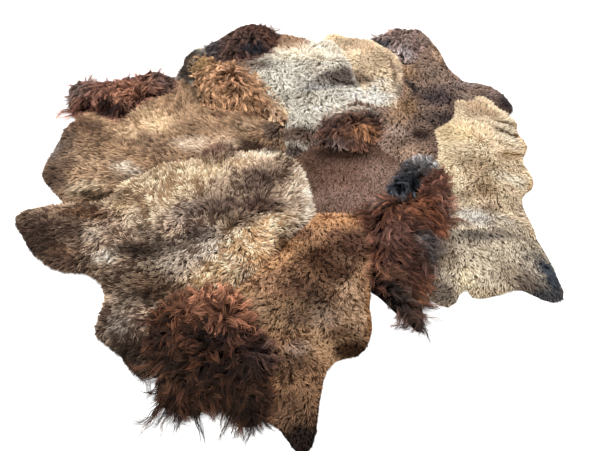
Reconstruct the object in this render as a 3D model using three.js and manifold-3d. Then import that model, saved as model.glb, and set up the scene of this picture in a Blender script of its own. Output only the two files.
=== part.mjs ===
// A patchwork rug made of nine sheepskins, lying flat on a floor.
// Each skin keeps its own hide outline, with the legs left on, and is sewn to its neighbours from behind,
// so that its wool rolls over the seam. Most skins also keep a mane of long neck wool, which stands up
// as a shaggy mound with loose locks round its rim.
// Millimetres. +Z is up, +Y is the far side of the rug and +X its right-hand side.

import * as THREE from "three";
import { mergeVertices } from "three/addons/utils/BufferGeometryUtils.js";
import Module from "manifold-3d";

const wasm = await Module();
wasm.setup();

const SEAM_GAP = 0.4;
const OUTLINE_DETAIL = 0.06;
const SHORTEST_SIDE = 2;
const MITRE_LIMIT = 0.25;
const OUTLINE_STEP = 40;
const SHAPE_TOP = 120;

const EDGE_HEIGHT = 8;
const SEAM_HEIGHT_SHARE = 0.6;
const ROLL_WIDTH = 26;
const HIDE_GRID = 84;
const HIDE_LUMP = 2.5;
const LUMP_LENGTH = 190;

const MANE_ROLL_WIDTH = 80;
const MANE_GRID = 54;
const MANE_LUMP = 9;
const MANE_LUMP_LENGTH = 118;

const FOLD_STEP = 38;
const FOLD_FOOT = 1.4;

// How far the points inside a top keep from the edge, in widths of its roll, and from each other.
const FOLD_CLEAR_OF_EDGE = 0.4;
const FOLD_CLEAR_OF_POINTS = 0.6;
const ROLL_CLEAR_OF_EDGE = 0.8;
const ROLL_CLEAR_OF_POINTS = 0.4;
const GRID_CLEAR_OF_EDGE = 1.5;
const GRID_CLEAR_OF_POINTS = 0.6;

const LOCK_SPACING = 54;
const LOCK_ROOT_WIDTH = 46;
const LOCK_ROOT_HEIGHT = 19;
const LOCK_ROOT_INSIDE = 30;
const OVERHANG_ROOT_INSIDE = 44;
const LOCK_STEPS = 3;
const LOCK_SPREAD = 0.9;
const LOCK_BEND = 3.4;
const OVERHANG_CLEARANCE = 2;
const OVERHANG_LENGTH_SHARE = 0.6;
const TIP_THICKNESS_SHARE = 0.3;
const LOCK_CLEARANCE = 2;
const LOCK_TAPER = 0.8;
const SHORTEST_LOCK_SHARE = 0.6;

// The skins and manes, from the top one down: each is cut away where one above it lies.
// pile is the height of the wool, and lock the longest loose lock at a mane's rim.
// The outline is x, y pairs all round, and is rough where another piece covers it.
// folds are soft ridges of the skin under its wool: from x, y to x, y, then height and half width.
const PIECES = [
  {
    name: "front_mane",
    colour: 0x43251a,
    pile: 72,
    lock: 105,
    outline: [
      [-440, -700], [-452, -780], [-436, -850], [-412, -900], [-420, -955], [-395, -1010], [-330, -1040],
      [-280, -1050], [-220, -1030], [-160, -1050], [-100, -1075], [-62, -1070], [-38, -1030], [-40, -960],
      [-28, -900], [-40, -835], [-80, -775], [-118, -715], [-155, -645], [-225, -605], [-305, -612],
      [-385, -650],
    ],
  },
  {
    name: "left_mane",
    colour: 0x4a2c22,
    pile: 56,
    lock: 95,
    outline: [
      [-1120, 560], [-1105, 480], [-1070, 400], [-1030, 350], [-960, 385], [-900, 370], [-850, 332],
      [-800, 328], [-760, 375], [-735, 440], [-700, 475], [-630, 500], [-595, 545], [-590, 630], [-650, 672],
      [-710, 690], [-800, 650], [-900, 618], [-1000, 615], [-1080, 612],
    ],
  },
  {
    name: "golden_mane",
    colour: 0x9a6a3f,
    pile: 58,
    lock: 60,
    outline: [
      [-522, 740], [-500, 685], [-475, 610], [-440, 530], [-425, 450], [-370, 402], [-300, 388], [-220, 380],
      [-150, 385], [-100, 345], [-60, 310], [-8, 302], [2, 335], [-22, 400], [-60, 475], [-105, 545],
      [-150, 615], [-195, 690], [-245, 740], [-300, 775], [-350, 752], [-390, 792], [-445, 822], [-500, 795],
    ],
  },
  {
    name: "top_mane",
    colour: 0x33211c,
    pile: 54,
    lock: 70,
    outline: [
      [-462, 915], [-440, 860], [-400, 800], [-330, 780], [-250, 788], [-180, 812], [-120, 842], [-78, 880],
      [-60, 950], [-56, 1040], [-85, 1082], [-140, 1118], [-210, 1135], [-280, 1105], [-335, 1050],
      [-400, 975],
    ],
  },
  {
    name: "centre_mane",
    colour: 0x5a3222,
    pile: 48,
    lock: 55,
    outline: [
      [165, 225], [178, 168], [235, 140], [305, 128], [372, 120], [402, 168], [440, 200], [460, 260],
      [456, 340], [438, 415], [385, 425], [345, 430], [295, 402], [240, 392], [200, 350], [175, 290],
    ],
  },
  {
    name: "dark_mane",
    colour: 0x26262b,
    pile: 46,
    lock: 60,
    outline: [
      [452, -140], [470, -85], [505, -35], [528, 15], [572, 40], [625, 62], [678, 50], [688, 5], [645, -25],
      [605, -65], [585, -115], [545, -152], [495, -158],
    ].reverse(),
  },
  {
    name: "shoulder_mane",
    colour: 0x4c281c,
    pile: 60,
    lock: 75,
    outline: [
      [342, -250], [380, -195], [450, -165], [520, -165], [580, -150], [612, -95], [640, -35], [690, 5],
      [714, -40], [718, -130], [708, -220], [698, -300], [640, -325], [605, -380], [598, -460], [575, -525],
      [545, -565], [538, -630], [535, -690], [510, -735], [455, -745], [415, -715], [382, -675], [352, -632],
      [334, -600], [342, -540], [358, -470], [366, -400], [348, -325],
    ].reverse(),
  },
  {
    name: "back_mane",
    colour: 0x5a4640,
    pile: 38,
    lock: 45,
    outline: [
      [482, 1000], [512, 958], [548, 918], [585, 892], [606, 850], [628, 792], [655, 765], [695, 800],
      [732, 860], [752, 940], [742, 1020], [712, 1085], [645, 1102], [598, 1090], [550, 1052], [508, 1030],
    ],
  },
  {
    name: "left_hide",
    colour: 0x7d6753,
    pile: 30,
    folds: [
      [-345, 55, -235, 112, 9, 34],
      [-655, -655, -545, -830, 7, 30],
      [-1050, -270, -840, -370, 6, 40],
    ],
    outline: [
      [-1120, -250], [-1098, -305], [-1050, -362], [-1000, -425], [-935, -475], [-850, -517], [-760, -525],
      [-700, -557], [-664, -605], [-653, -660], [-662, -740], [-642, -788], [-595, -817], [-550, -850],
      [-505, -898], [-455, -925], [-415, -905], [-360, -780], [-320, -660], [-290, -612], [-225, -598],
      [-160, -568], [-105, -515], [-50, -465], [0, -405], [35, -350], [85, -300], [121, -262], [117, -210],
      [108, -150], [95, -90], [82, -30], [55, 30], [22, 78], [-20, 110], [-60, 133], [-105, 124], [-150, 102],
      [-195, 98], [-225, 132], [-262, 162], [-305, 165], [-342, 142], [-370, 100], [-405, 58], [-455, 38],
      [-510, 38], [-560, 15], [-610, -20], [-655, -55], [-700, -88], [-745, -160], [-800, -190], [-870, -194],
      [-945, -190], [-1020, -203], [-1090, -218],
    ],
  },
  {
    name: "front_hide",
    colour: 0x5f4531,
    pile: 28,
    folds: [
      [255, -470, 285, -740, 7, 34],
      [55, -900, 85, -1090, 6, 28],
    ],
    outline: [
      [150, -246], [60, -280], [-60, -400], [-180, -540], [-300, -600], [-320, -760], [-260, -920],
      [-150, -1020], [-45, -1060], [-10, -1072], [25, -1110], [50, -1142], [75, -1162], [98, -1148],
      [118, -1112], [125, -1065], [133, -1010], [146, -950], [156, -908], [185, -873], [225, -858],
      [262, -853], [300, -822], [322, -775], [331, -725], [325, -680], [332, -630], [345, -560], [410, -460],
      [430, -330], [400, -235], [340, -240], [280, -250], [210, -245],
    ],
  },
  {
    name: "back_left_hide",
    colour: 0x8a7054,
    pile: 26,
    outline: [
      [-1030, 325], [-1062, 280], [-1070, 190], [-1078, 90], [-1086, 0], [-1072, -45], [-1022, -98],
      [-970, -148], [-925, -188], [-850, -240], [-700, -200], [-560, -100], [-400, -40], [-250, 40],
      [-60, 60], [-12, 100], [3, 140], [-12, 190], [-18, 250], [0, 310], [-100, 480], [-300, 620],
      [-430, 620], [-475, 578], [-505, 588], [-535, 612], [-568, 638], [-592, 610], [-640, 560], [-760, 530],
      [-860, 450], [-950, 430], [-1020, 385],
    ],
  },
  {
    name: "cream_hide",
    colour: 0xb3a690,
    pile: 28,
    folds: [
      [325, 730, 215, 935, 7, 26],
    ],
    outline: [
      [-584, 655], [-560, 590], [-450, 540], [-300, 440], [-150, 340], [-70, 250], [-50, 160], [-20, 100],
      [28, 84], [60, 112], [95, 150], [135, 182], [220, 200], [320, 290], [385, 410], [398, 480], [378, 560],
      [352, 640], [340, 720], [330, 785], [306, 865], [268, 930], [228, 980], [196, 985], [170, 962],
      [120, 985], [60, 1020], [0, 1038], [-60, 1040], [-160, 1050], [-280, 1010], [-400, 950], [-462, 932],
      [-497, 926], [-532, 890], [-557, 850], [-568, 800], [-566, 745], [-580, 700],
    ],
  },
  {
    name: "beige_hide",
    colour: 0xa78c6c,
    pile: 25,
    folds: [
      [560, 640, 572, 850, 6, 22],
    ],
    outline: [
      [172, 955], [220, 850], [260, 700], [290, 560], [330, 430], [400, 385], [446, 425], [482, 436],
      [522, 424], [548, 398], [556, 442], [566, 490], [588, 535], [602, 590], [606, 650], [612, 702],
      [621, 755], [617, 800], [603, 850], [583, 893], [556, 914], [530, 935], [505, 965], [480, 998],
      [430, 1013], [375, 1028], [326, 1033], [298, 1058], [248, 1064], [216, 1044], [196, 1000],
    ],
  },
  {
    name: "sandy_hide",
    colour: 0xaa9070,
    pile: 21,
    folds: [
      [1115, 322, 1000, 262, 8, 20],
      [1118, 160, 985, 105, 9, 22],
      [1085, -15, 965, -75, 8, 20],
      [1000, -335, 880, -275, 8, 20],
    ],
    outline: [
      [722, 258], [726, 205], [724, 150], [712, 85], [698, 45], [670, -60], [680, -170], [660, -270],
      [700, -308], [760, -314], [840, -308], [895, -290], [945, -300], [985, -335], [1025, -368],
      [1032, -330], [1027, -280], [1020, -220], [1023, -170], [1040, -138], [1075, -115], [1098, -85],
      [1108, -35], [1100, 5], [1088, 35], [1096, 75], [1120, 115], [1138, 152], [1133, 200], [1116, 242],
      [1121, 275], [1133, 310], [1122, 348], [1098, 378], [1065, 405], [1046, 430], [1038, 470],
      [1005, 507], [978, 510], [955, 482], [928, 460], [900, 470], [878, 500], [860, 472], [848, 420],
      [843, 370], [815, 325], [770, 293],
    ],
  },
  {
    name: "brown_hide",
    colour: 0x58453a,
    pile: 25,
    folds: [
      [905, 600, 800, 430, 8, 26],
      [1100, 450, 975, 560, 6, 28],
      [690, 640, 640, 420, 6, 26],
    ],
    outline: [
      [1110, 372], [1000, 380], [880, 340], [770, 250], [760, 150], [740, 60], [690, 20], [640, 15],
      [578, 26], [545, 48], [500, 85], [470, 122], [444, 172], [400, 250], [400, 400], [500, 520],
      [540, 700], [530, 850], [500, 960], [500, 1015], [600, 1075], [700, 1085], [722, 1106], [748, 1118],
      [780, 1092], [802, 1048], [825, 990], [850, 920], [862, 850], [869, 785], [885, 725], [918, 665],
      [943, 624], [990, 624], [1045, 603], [1095, 555], [1128, 492], [1142, 430], [1132, 396],
    ],
  },
  {
    name: "grey_hide",
    colour: 0x8f7f6b,
    pile: 24,
    folds: [
      [1020, -450, 985, -590, 6, 24],
    ],
    outline: [
      [1028, -362], [950, -250], [800, -260], [650, -270], [560, -350], [520, -450], [490, -560],
      [530, -625], [565, -643], [605, -667], [645, -650], [666, -618], [682, -593], [700, -594],
      [707, -624], [742, -631], [800, -620], [850, -604], [886, -592], [918, -602], [965, -632],
      [1005, -648], [1043, -640], [1061, -605], [1055, -540], [1050, -470], [1040, -415],
    ],
  },
  {
    name: "centre_hide",
    colour: 0x54403a,
    pile: 15,
    outline: [
      [-20, 80], [60, 190], [200, 240], [380, 240], [500, 150], [640, 70], [690, -60], [640, -200],
      [500, -290], [300, -300], [120, -310], [40, -180],
    ],
  },
];

// A repeatable number from 0 to 1 for each whole number.
function chance(n) {
  const s = Math.sin(n * 12.9898 + 4.1414) * 43758.5453;
  return s - Math.floor(s);
}

// Gentle rises and dips of the wool, from -1 to 1.
function lumps(x, y, length) {
  const turn = (2 * Math.PI) / length;
  return (
    (Math.sin(turn * (x + 0.4 * y)) + Math.sin(turn * (0.9 * y - 0.5 * x) + 1.3)) / 3 +
    Math.sin(turn * 2.3 * (0.6 * x - y)) / 3
  );
}

function signedArea(loop) {
  return THREE.ShapeUtils.area(loop);
}

// A closed smooth outline through the given points, as short straight sides, anticlockwise.
function smoothLoop(points) {
  const curve = new THREE.CatmullRomCurve3(
    points.map(([x, y]) => new THREE.Vector3(x, y, 0)),
    true,
    "centripetal",
  );
  const count = Math.round(curve.getLength() / OUTLINE_STEP);
  const loop = curve.getSpacedPoints(count).slice(0, count).map((p) => new THREE.Vector2(p.x, p.y));
  return signedArea(loop) < 0 ? loop.reverse() : loop;
}

function sideNormal(a, b) {
  return new THREE.Vector2(b.y - a.y, a.x - b.x).normalize();
}

// The step out of an anticlockwise loop's corner that moves both its sides out by 1.
function mitre(loop, i) {
  const n = sideNormal(loop[(i + loop.length - 1) % loop.length], loop[i]);
  const m = sideNormal(loop[i], loop[(i + 1) % loop.length]);
  return n.clone().add(m).divideScalar(Math.max(MITRE_LIMIT, 1 + n.dot(m)));
}

function grown(loop, by) {
  return loop.map((p, i) => p.clone().addScaledVector(mitre(loop, i), by));
}

// Points an even distance apart along a loop, each with its unit vector that points out.
function evenlyAlong(loop, spacing) {
  const found = [];
  let run = 0;
  loop.forEach((a, i) => {
    const b = loop[(i + 1) % loop.length];
    const length = a.distanceTo(b);
    const n = sideNormal(a, b);
    for (; run < length; run += spacing) found.push([a.clone().lerp(b, run / length), n]);
    run -= length;
  });
  return found;
}

function distanceToSide(a, b, p) {
  const side = b.clone().sub(a);
  const t = THREE.MathUtils.clamp(p.clone().sub(a).dot(side) / side.lengthSq(), 0, 1);
  return a.clone().addScaledVector(side, t).distanceTo(p);
}

function distanceTo(loop, p) {
  return Math.min(...loop.map((a, i) => distanceToSide(a, loop[(i + 1) % loop.length], p)));
}

function holds(loop, p) {
  let inside = false;
  loop.forEach((a, i) => {
    const b = loop[(i + 1) % loop.length];
    const crosses = a.y > p.y !== b.y > p.y;
    if (crosses && p.x < ((b.x - a.x) * (p.y - a.y)) / (b.y - a.y) + a.x) inside = !inside;
  });
  return inside;
}

function surface(positions, triangles) {
  const geometry = new THREE.BufferGeometry();
  geometry.setAttribute("position", new THREE.BufferAttribute(Float32Array.from(positions), 3));
  geometry.setIndex([...triangles]);
  return geometry;
}

function solidOf(geometry) {
  geometry.deleteAttribute("normal");
  geometry.deleteAttribute("uv");
  const merged = mergeVertices(geometry, 1e-4);
  return new wasm.Manifold(
    new wasm.Mesh({
      numProp: 3,
      vertProperties: merged.attributes.position.array,
      triVerts: merged.index.array,
    }),
  );
}

// An upright block on an outline, from the floor up.
function block(loop) {
  return solidOf(new THREE.ExtrudeGeometry(new THREE.Shape(loop), { depth: SHAPE_TOP, bevelEnabled: false }));
}

function largest(solid) {
  return solid.decompose().reduce((a, b) => (a.volume() > b.volume() ? a : b));
}

// The outline of a block's foot: the sides that its underside has alone, joined end to end.
function footLoop(solid) {
  const mesh = solid.getMesh();
  const at = (v) => mesh.vertProperties.subarray(v * mesh.numProp, v * mesh.numProp + 3);
  const sides = new Set();
  for (let t = 0; t < mesh.triVerts.length; t += 3) {
    const [a, b, c] = mesh.triVerts.subarray(t, t + 3);
    if ([a, b, c].some((v) => at(v)[2] !== 0)) continue;
    for (const side of [[a, b], [b, c], [c, a]]) sides.add(side.join());
  }
  const next = new Map();
  for (const side of sides) {
    const [from, to] = side.split(",").map(Number);
    if (!sides.has([to, from].join())) next.set(to, from);
  }
  const start = next.keys().next().value;
  const loop = [];
  for (let v = start; loop.length === 0 || v !== start; v = next.get(v)) {
    loop.push(new THREE.Vector2(at(v)[0], at(v)[1]));
  }
  return loop;
}

// Drops the points that a loop's shape doesn't need.
function tidied(loop) {
  const kept = [];
  loop.forEach((p, i) => {
    const before = kept.at(-1) ?? loop.at(-1);
    const after = loop[(i + 1) % loop.length];
    if (distanceToSide(before, after, p) < OUTLINE_DETAIL) return;
    if (kept.length === 0 || before.distanceTo(p) > SHORTEST_SIDE) kept.push(p);
  });
  return kept;
}

// Triangles over a loop with some points inside it: each point goes into the triangle that holds it,
// and sides are turned until no triangle is needlessly thin.
function cover(loop, inner) {
  const points = [...loop, ...inner];
  const faces = THREE.ShapeUtils.triangulateShape(loop, []).map((f) => [...f]);
  const turn = (a, b, c) =>
    (points[b].x - points[a].x) * (points[c].y - points[a].y) -
    (points[b].y - points[a].y) * (points[c].x - points[a].x);
  faces.forEach((f) => turn(...f) < 0 && f.reverse());
  const sideOf = new Map();
  const note = (f) => faces[f].forEach((a, i) => sideOf.set(a + ">" + faces[f][(i + 1) % 3], f));
  const forget = (f) => faces[f].forEach((a, i) => sideOf.delete(a + ">" + faces[f][(i + 1) % 3]));
  faces.forEach((_, f) => note(f));

  const inCircle = (a, b, c, d) => {
    const row = (p) => [points[p].x - points[d].x, points[p].y - points[d].y];
    const [[ax, ay], [bx, by], [cx, cy]] = [row(a), row(b), row(c)];
    return (
      (ax * ax + ay * ay) * (bx * cy - cx * by) -
        (bx * bx + by * by) * (ax * cy - cx * ay) +
        (cx * cx + cy * cy) * (ax * by - bx * ay) >
      1e-3
    );
  };

  function settle(a, b, apex) {
    const f = sideOf.get(a + ">" + b);
    const g = sideOf.get(b + ">" + a);
    if (f === undefined || g === undefined) return;
    const far = faces[g].find((v) => v !== a && v !== b);
    if (!inCircle(a, b, apex, far) || turn(a, far, apex) <= 0 || turn(far, b, apex) <= 0) return;
    forget(f);
    forget(g);
    faces[f] = [a, far, apex];
    faces[g] = [far, b, apex];
    note(f);
    note(g);
    settle(a, far, apex);
    settle(far, b, apex);
  }

  inner.forEach((_, i) => {
    const p = loop.length + i;
    const f = faces.findIndex(([a, b, c]) => turn(a, b, p) > 0 && turn(b, c, p) > 0 && turn(c, a, p) > 0);
    if (f < 0) return;
    const [a, b, c] = faces[f];
    forget(f);
    faces[f] = [a, b, p];
    faces.push([b, c, p], [c, a, p]);
    [f, faces.length - 2, faces.length - 1].forEach(note);
    settle(a, b, p);
    settle(b, c, p);
    settle(c, a, p);
  });
  return { points, faces };
}

function foldEnds([x0, y0, x1, y1]) {
  return [new THREE.Vector2(x0, y0), new THREE.Vector2(x1, y1)];
}

// Points for the top of a piece: along its folds, one row just inside its edge, and an even grid.
function innerPoints(loop, folds, roll, grid) {
  const found = [];
  const clear = (p, room) => found.every((q) => q.distanceTo(p) > room);
  for (const fold of folds) {
    const [from, to] = foldEnds(fold);
    const steps = Math.round(from.distanceTo(to) / FOLD_STEP);
    const along = to.clone().sub(from).normalize();
    const foot = FOLD_FOOT * fold[5];
    for (let k = 0; k <= steps; k++) {
      for (const off of [0, foot, -foot]) {
        const q = from.clone().lerp(to, k / steps).add(new THREE.Vector2(-along.y * off, along.x * off));
        if (!holds(loop, q) || distanceTo(loop, q) < FOLD_CLEAR_OF_EDGE * roll) continue;
        if (clear(q, FOLD_CLEAR_OF_POINTS * foot)) found.push(q);
      }
    }
  }
  loop.forEach((p, i) => {
    const q = p.clone().addScaledVector(mitre(loop, i), -roll);
    if (!holds(loop, q) || distanceTo(loop, q) < ROLL_CLEAR_OF_EDGE * roll) return;
    if (clear(q, ROLL_CLEAR_OF_POINTS * grid)) found.push(q);
  });
  const box = new THREE.Box2().setFromPoints(loop);
  const rise = grid * Math.sqrt(0.75);
  for (let row = 0, y = box.min.y; y < box.max.y; row++, y += rise) {
    for (let x = box.min.x + (row % 2) * 0.5 * grid; x < box.max.x; x += grid) {
      const q = new THREE.Vector2(x, y);
      if (!holds(loop, q) || distanceTo(loop, q) < GRID_CLEAR_OF_EDGE * roll) continue;
      if (clear(q, GRID_CLEAR_OF_POINTS * grid)) found.push(q);
    }
  }
  return found;
}

// A piece of wool on its hide: a flat foot, a low upright edge and a top that rolls over towards it.
function slab(loop, inner, heightAt) {
  const { points, faces } = cover(loop, inner);
  const foot = THREE.ShapeUtils.triangulateShape(loop, []);
  const positions = points.flatMap((p, i) => [p.x, p.y, heightAt(p, i < loop.length)]);
  loop.forEach((p) => positions.push(p.x, p.y, 0));
  const triangles = faces.flat();
  const down = points.length;
  foot.forEach(([a, b, c]) => {
    const anticlockwise = signedArea([loop[a], loop[b], loop[c]]) > 0;
    triangles.push(...(anticlockwise ? [down + a, down + c, down + b] : [down + a, down + b, down + c]));
  });
  loop.forEach((_, i) => {
    const j = (i + 1) % loop.length;
    triangles.push(down + i, down + j, j, down + i, j, i);
  });
  return surface(positions, triangles);
}

// A lock of long wool: three-sided, flat underneath, tapering and bending to a point.
function lock(root, direction, length, base, bend) {
  const positions = [];
  let x = root.x;
  let y = root.y;
  let angle = direction;
  for (let k = 0; k < LOCK_STEPS; k++) {
    const left = 1 - (LOCK_TAPER * k) / LOCK_STEPS;
    const half = 0.5 * LOCK_ROOT_WIDTH * left;
    const side = [-Math.sin(angle) * half, Math.cos(angle) * half];
    positions.push(x + side[0], y + side[1], base);
    positions.push(x - side[0], y - side[1], base);
    positions.push(x, y, base + LOCK_ROOT_HEIGHT * left);
    x += (Math.cos(angle) * length) / LOCK_STEPS;
    y += (Math.sin(angle) * length) / LOCK_STEPS;
    angle += bend / LOCK_STEPS;
  }
  positions.push(x, y, base + LOCK_ROOT_HEIGHT * TIP_THICKNESS_SHARE);
  const triangles = [0, 1, 2];
  for (let k = 0; k < LOCK_STEPS - 1; k++) {
    const here = 3 * k;
    for (const [a, b] of [[0, 1], [1, 2], [2, 0]]) {
      triangles.push(here + a, here + 3 + b, here + b, here + a, here + 3 + a, here + 3 + b);
    }
  }
  const last = 3 * (LOCK_STEPS - 1);
  const tip = last + 3;
  for (const [a, b] of [[0, 1], [1, 2], [2, 0]]) triangles.push(last + a, tip, last + b);
  return surface(positions, triangles);
}

// The loose locks round a mane: on the floor where nothing lies outside, and above a neighbouring skin.
// A lock that would run into the locks of a mane made before is left out.
function rimLocks(piece, loop, others, manes) {
  const locks = evenlyAlong(loop, LOCK_SPACING).map(([p, n]) => {
    const seed = Math.round(p.x + 3 * p.y);
    const overSkin = others.some((o) => holds(o.loop, p.clone().addScaledVector(n, 0.4 * piece.lock)));
    const share = THREE.MathUtils.lerp(SHORTEST_LOCK_SHARE, 1, chance(seed));
    const reach = piece.lock * share * (overSkin ? OVERHANG_LENGTH_SHARE : 1);
    const direction = Math.atan2(n.y, n.x) + LOCK_SPREAD * (chance(seed + 1) - 0.5);
    const inside = overSkin ? OVERHANG_ROOT_INSIDE : LOCK_ROOT_INSIDE;
    const root = p.clone().addScaledVector(n, -inside);
    const skins = others.filter((o) => !o.piece.lock);
    const base = overSkin ? OVERHANG_CLEARANCE + Math.max(...skins.map((o) => o.piece.pile)) : 0;
    const bend = LOCK_BEND * (chance(seed + 2) - 0.5);
    const made = solidOf(lock(root, direction, reach + inside, base, bend));
    const inTheWay = others.filter((o) => !overSkin || o.piece.lock);
    return inTheWay.reduce((left, o) => left.subtract(o.room), made);
  });
  return locks.filter((made) => manes.every((mane) => made.minGap(mane, LOCK_CLEARANCE) === LOCK_CLEARANCE));
}

function near(a, b, room) {
  const boxOf = (loop) => new THREE.Box2().setFromPoints(loop);
  return boxOf(a).expandByScalar(room).intersectsBox(boxOf(b));
}

// Each piece's seen outline: its own, less what lies above it.
const placed = [];
for (const piece of PIECES) {
  const whole = smoothLoop(piece.outline);
  const above = placed.filter((o) => near(o.loop, whole, SEAM_GAP));
  const left = above.reduce((solid, o) => solid.subtract(o.room), block(whole));
  const loop = tidied(footLoop(largest(left)));
  placed.push({ piece, loop, room: block(grown(loop, SEAM_GAP)) });
}

// The wool's height over a piece: low at a free edge, higher at a seam, full further in.
function heights(piece, loop, others) {
  const isMane = Boolean(piece.lock);
  const roll = isMane ? MANE_ROLL_WIDTH : ROLL_WIDTH;
  const lump = isMane ? MANE_LUMP : HIDE_LUMP;
  const lumpLength = isMane ? MANE_LUMP_LENGTH : LUMP_LENGTH;
  const rise = (p) =>
    (piece.folds ?? []).reduce((sum, fold) => {
      const away = distanceToSide(...foldEnds(fold), p) / fold[5];
      return sum + fold[4] * Math.exp(-away * away);
    }, 0);
  return (p, onEdge) => {
    const neighbour = onEdge && others.find((o) => distanceTo(o.loop, p) < 4 * SEAM_GAP);
    if (neighbour) return SEAM_HEIGHT_SHARE * Math.min(piece.pile, neighbour.piece.pile);
    if (onEdge) return EDGE_HEIGHT;
    const t = Math.min(1, distanceTo(loop, p) / roll);
    const full = piece.pile - lump;
    const soft = Math.sqrt(t * (2 - t));
    return EDGE_HEIGHT + soft * (full - EDGE_HEIGHT + lump * lumps(p.x, p.y, lumpLength)) + rise(p);
  };
}

function buildPiece({ piece, loop }, manes) {
  const isMane = Boolean(piece.lock);
  const others = placed.filter((o) => o.piece !== piece && near(o.loop, loop, 2 * (piece.lock ?? SEAM_GAP)));
  const inner = innerPoints(loop, piece.folds ?? [], ROLL_WIDTH, isMane ? MANE_GRID : HIDE_GRID);
  let geometry = slab(loop, inner, heights(piece, loop, others));
  if (isMane) {
    const mound = solidOf(geometry);
    const shaggy = largest(rimLocks(piece, loop, others, manes).reduce((a, b) => a.add(b), mound));
    manes.push(shaggy);
    const mesh = shaggy.getMesh();
    geometry = surface(mesh.vertProperties, mesh.triVerts);
  }
  geometry.computeVertexNormals();
  const wool = new THREE.MeshStandardMaterial({ color: piece.colour, roughness: 0.95, metalness: 0 });
  const mesh = new THREE.Mesh(geometry, wool);
  mesh.name = piece.name;
  return mesh;
}

const rug = new THREE.Group();
rug.name = "patchwork_rug";
const manes = [];
placed.forEach((entry) => rug.add(buildPiece(entry, manes)));

export default rug;
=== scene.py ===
"""A patchwork rug of nine sheepskins with shaggy manes, lying on a pale floor."""

import math

import bpy
import numpy as np
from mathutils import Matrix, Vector
from mathutils.bvhtree import BVHTree
from mathutils.geometry import delaunay_2d_cdt


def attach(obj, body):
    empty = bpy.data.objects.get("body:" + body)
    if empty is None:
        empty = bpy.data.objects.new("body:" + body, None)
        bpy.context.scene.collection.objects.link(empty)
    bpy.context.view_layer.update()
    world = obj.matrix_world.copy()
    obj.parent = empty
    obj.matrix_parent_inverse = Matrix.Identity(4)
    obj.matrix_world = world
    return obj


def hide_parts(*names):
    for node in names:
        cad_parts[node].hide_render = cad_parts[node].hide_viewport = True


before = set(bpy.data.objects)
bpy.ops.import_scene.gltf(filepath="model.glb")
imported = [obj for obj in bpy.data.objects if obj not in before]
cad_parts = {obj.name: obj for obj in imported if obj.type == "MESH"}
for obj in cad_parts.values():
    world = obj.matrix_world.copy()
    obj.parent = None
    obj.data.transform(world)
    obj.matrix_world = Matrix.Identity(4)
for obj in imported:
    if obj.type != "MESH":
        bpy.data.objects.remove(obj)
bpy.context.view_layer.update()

# The view: a wide lens at eye height, just in front of the rug, looking down at it.
EYE = (0.070, -1.390, 1.562)
LOOKING_DOWN = 55
view_data = bpy.data.cameras.new("view")
view_data.sensor_width = 36.0
view_data.lens = 27.6
view_data.clip_end = 50.0
view = bpy.data.objects.new("view", view_data)
view.location = EYE
view.rotation_euler = (math.radians(90 - LOOKING_DOWN), 0, 0)
bpy.context.scene.collection.objects.link(view)
bpy.context.scene.camera = view


# The left skin: a whole tanned sheepskin with one leg left on, its curly wool cream at the tips and dark at
# the roots, partly painted shade. Its near neighbours are sewn to it from behind, so its wool rolls over
# them.
MM = 0.001
TINY = 1e-6
ON_FLOOR = 0.05
PLACES_AT_ONCE = 8000

# The rug's pieces from the top one down: wool at a seam falls over the piece below.
LAYERS = [
    "front_mane",
    "left_mane",
    "golden_mane",
    "top_mane",
    "centre_mane",
    "dark_mane",
    "shoulder_mane",
    "back_mane",
    "left_hide",
    "front_hide",
    "back_left_hide",
    "cream_hide",
    "beige_hide",
    "sandy_hide",
    "brown_hide",
    "grey_hide",
    "centre_hide",
]

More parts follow.
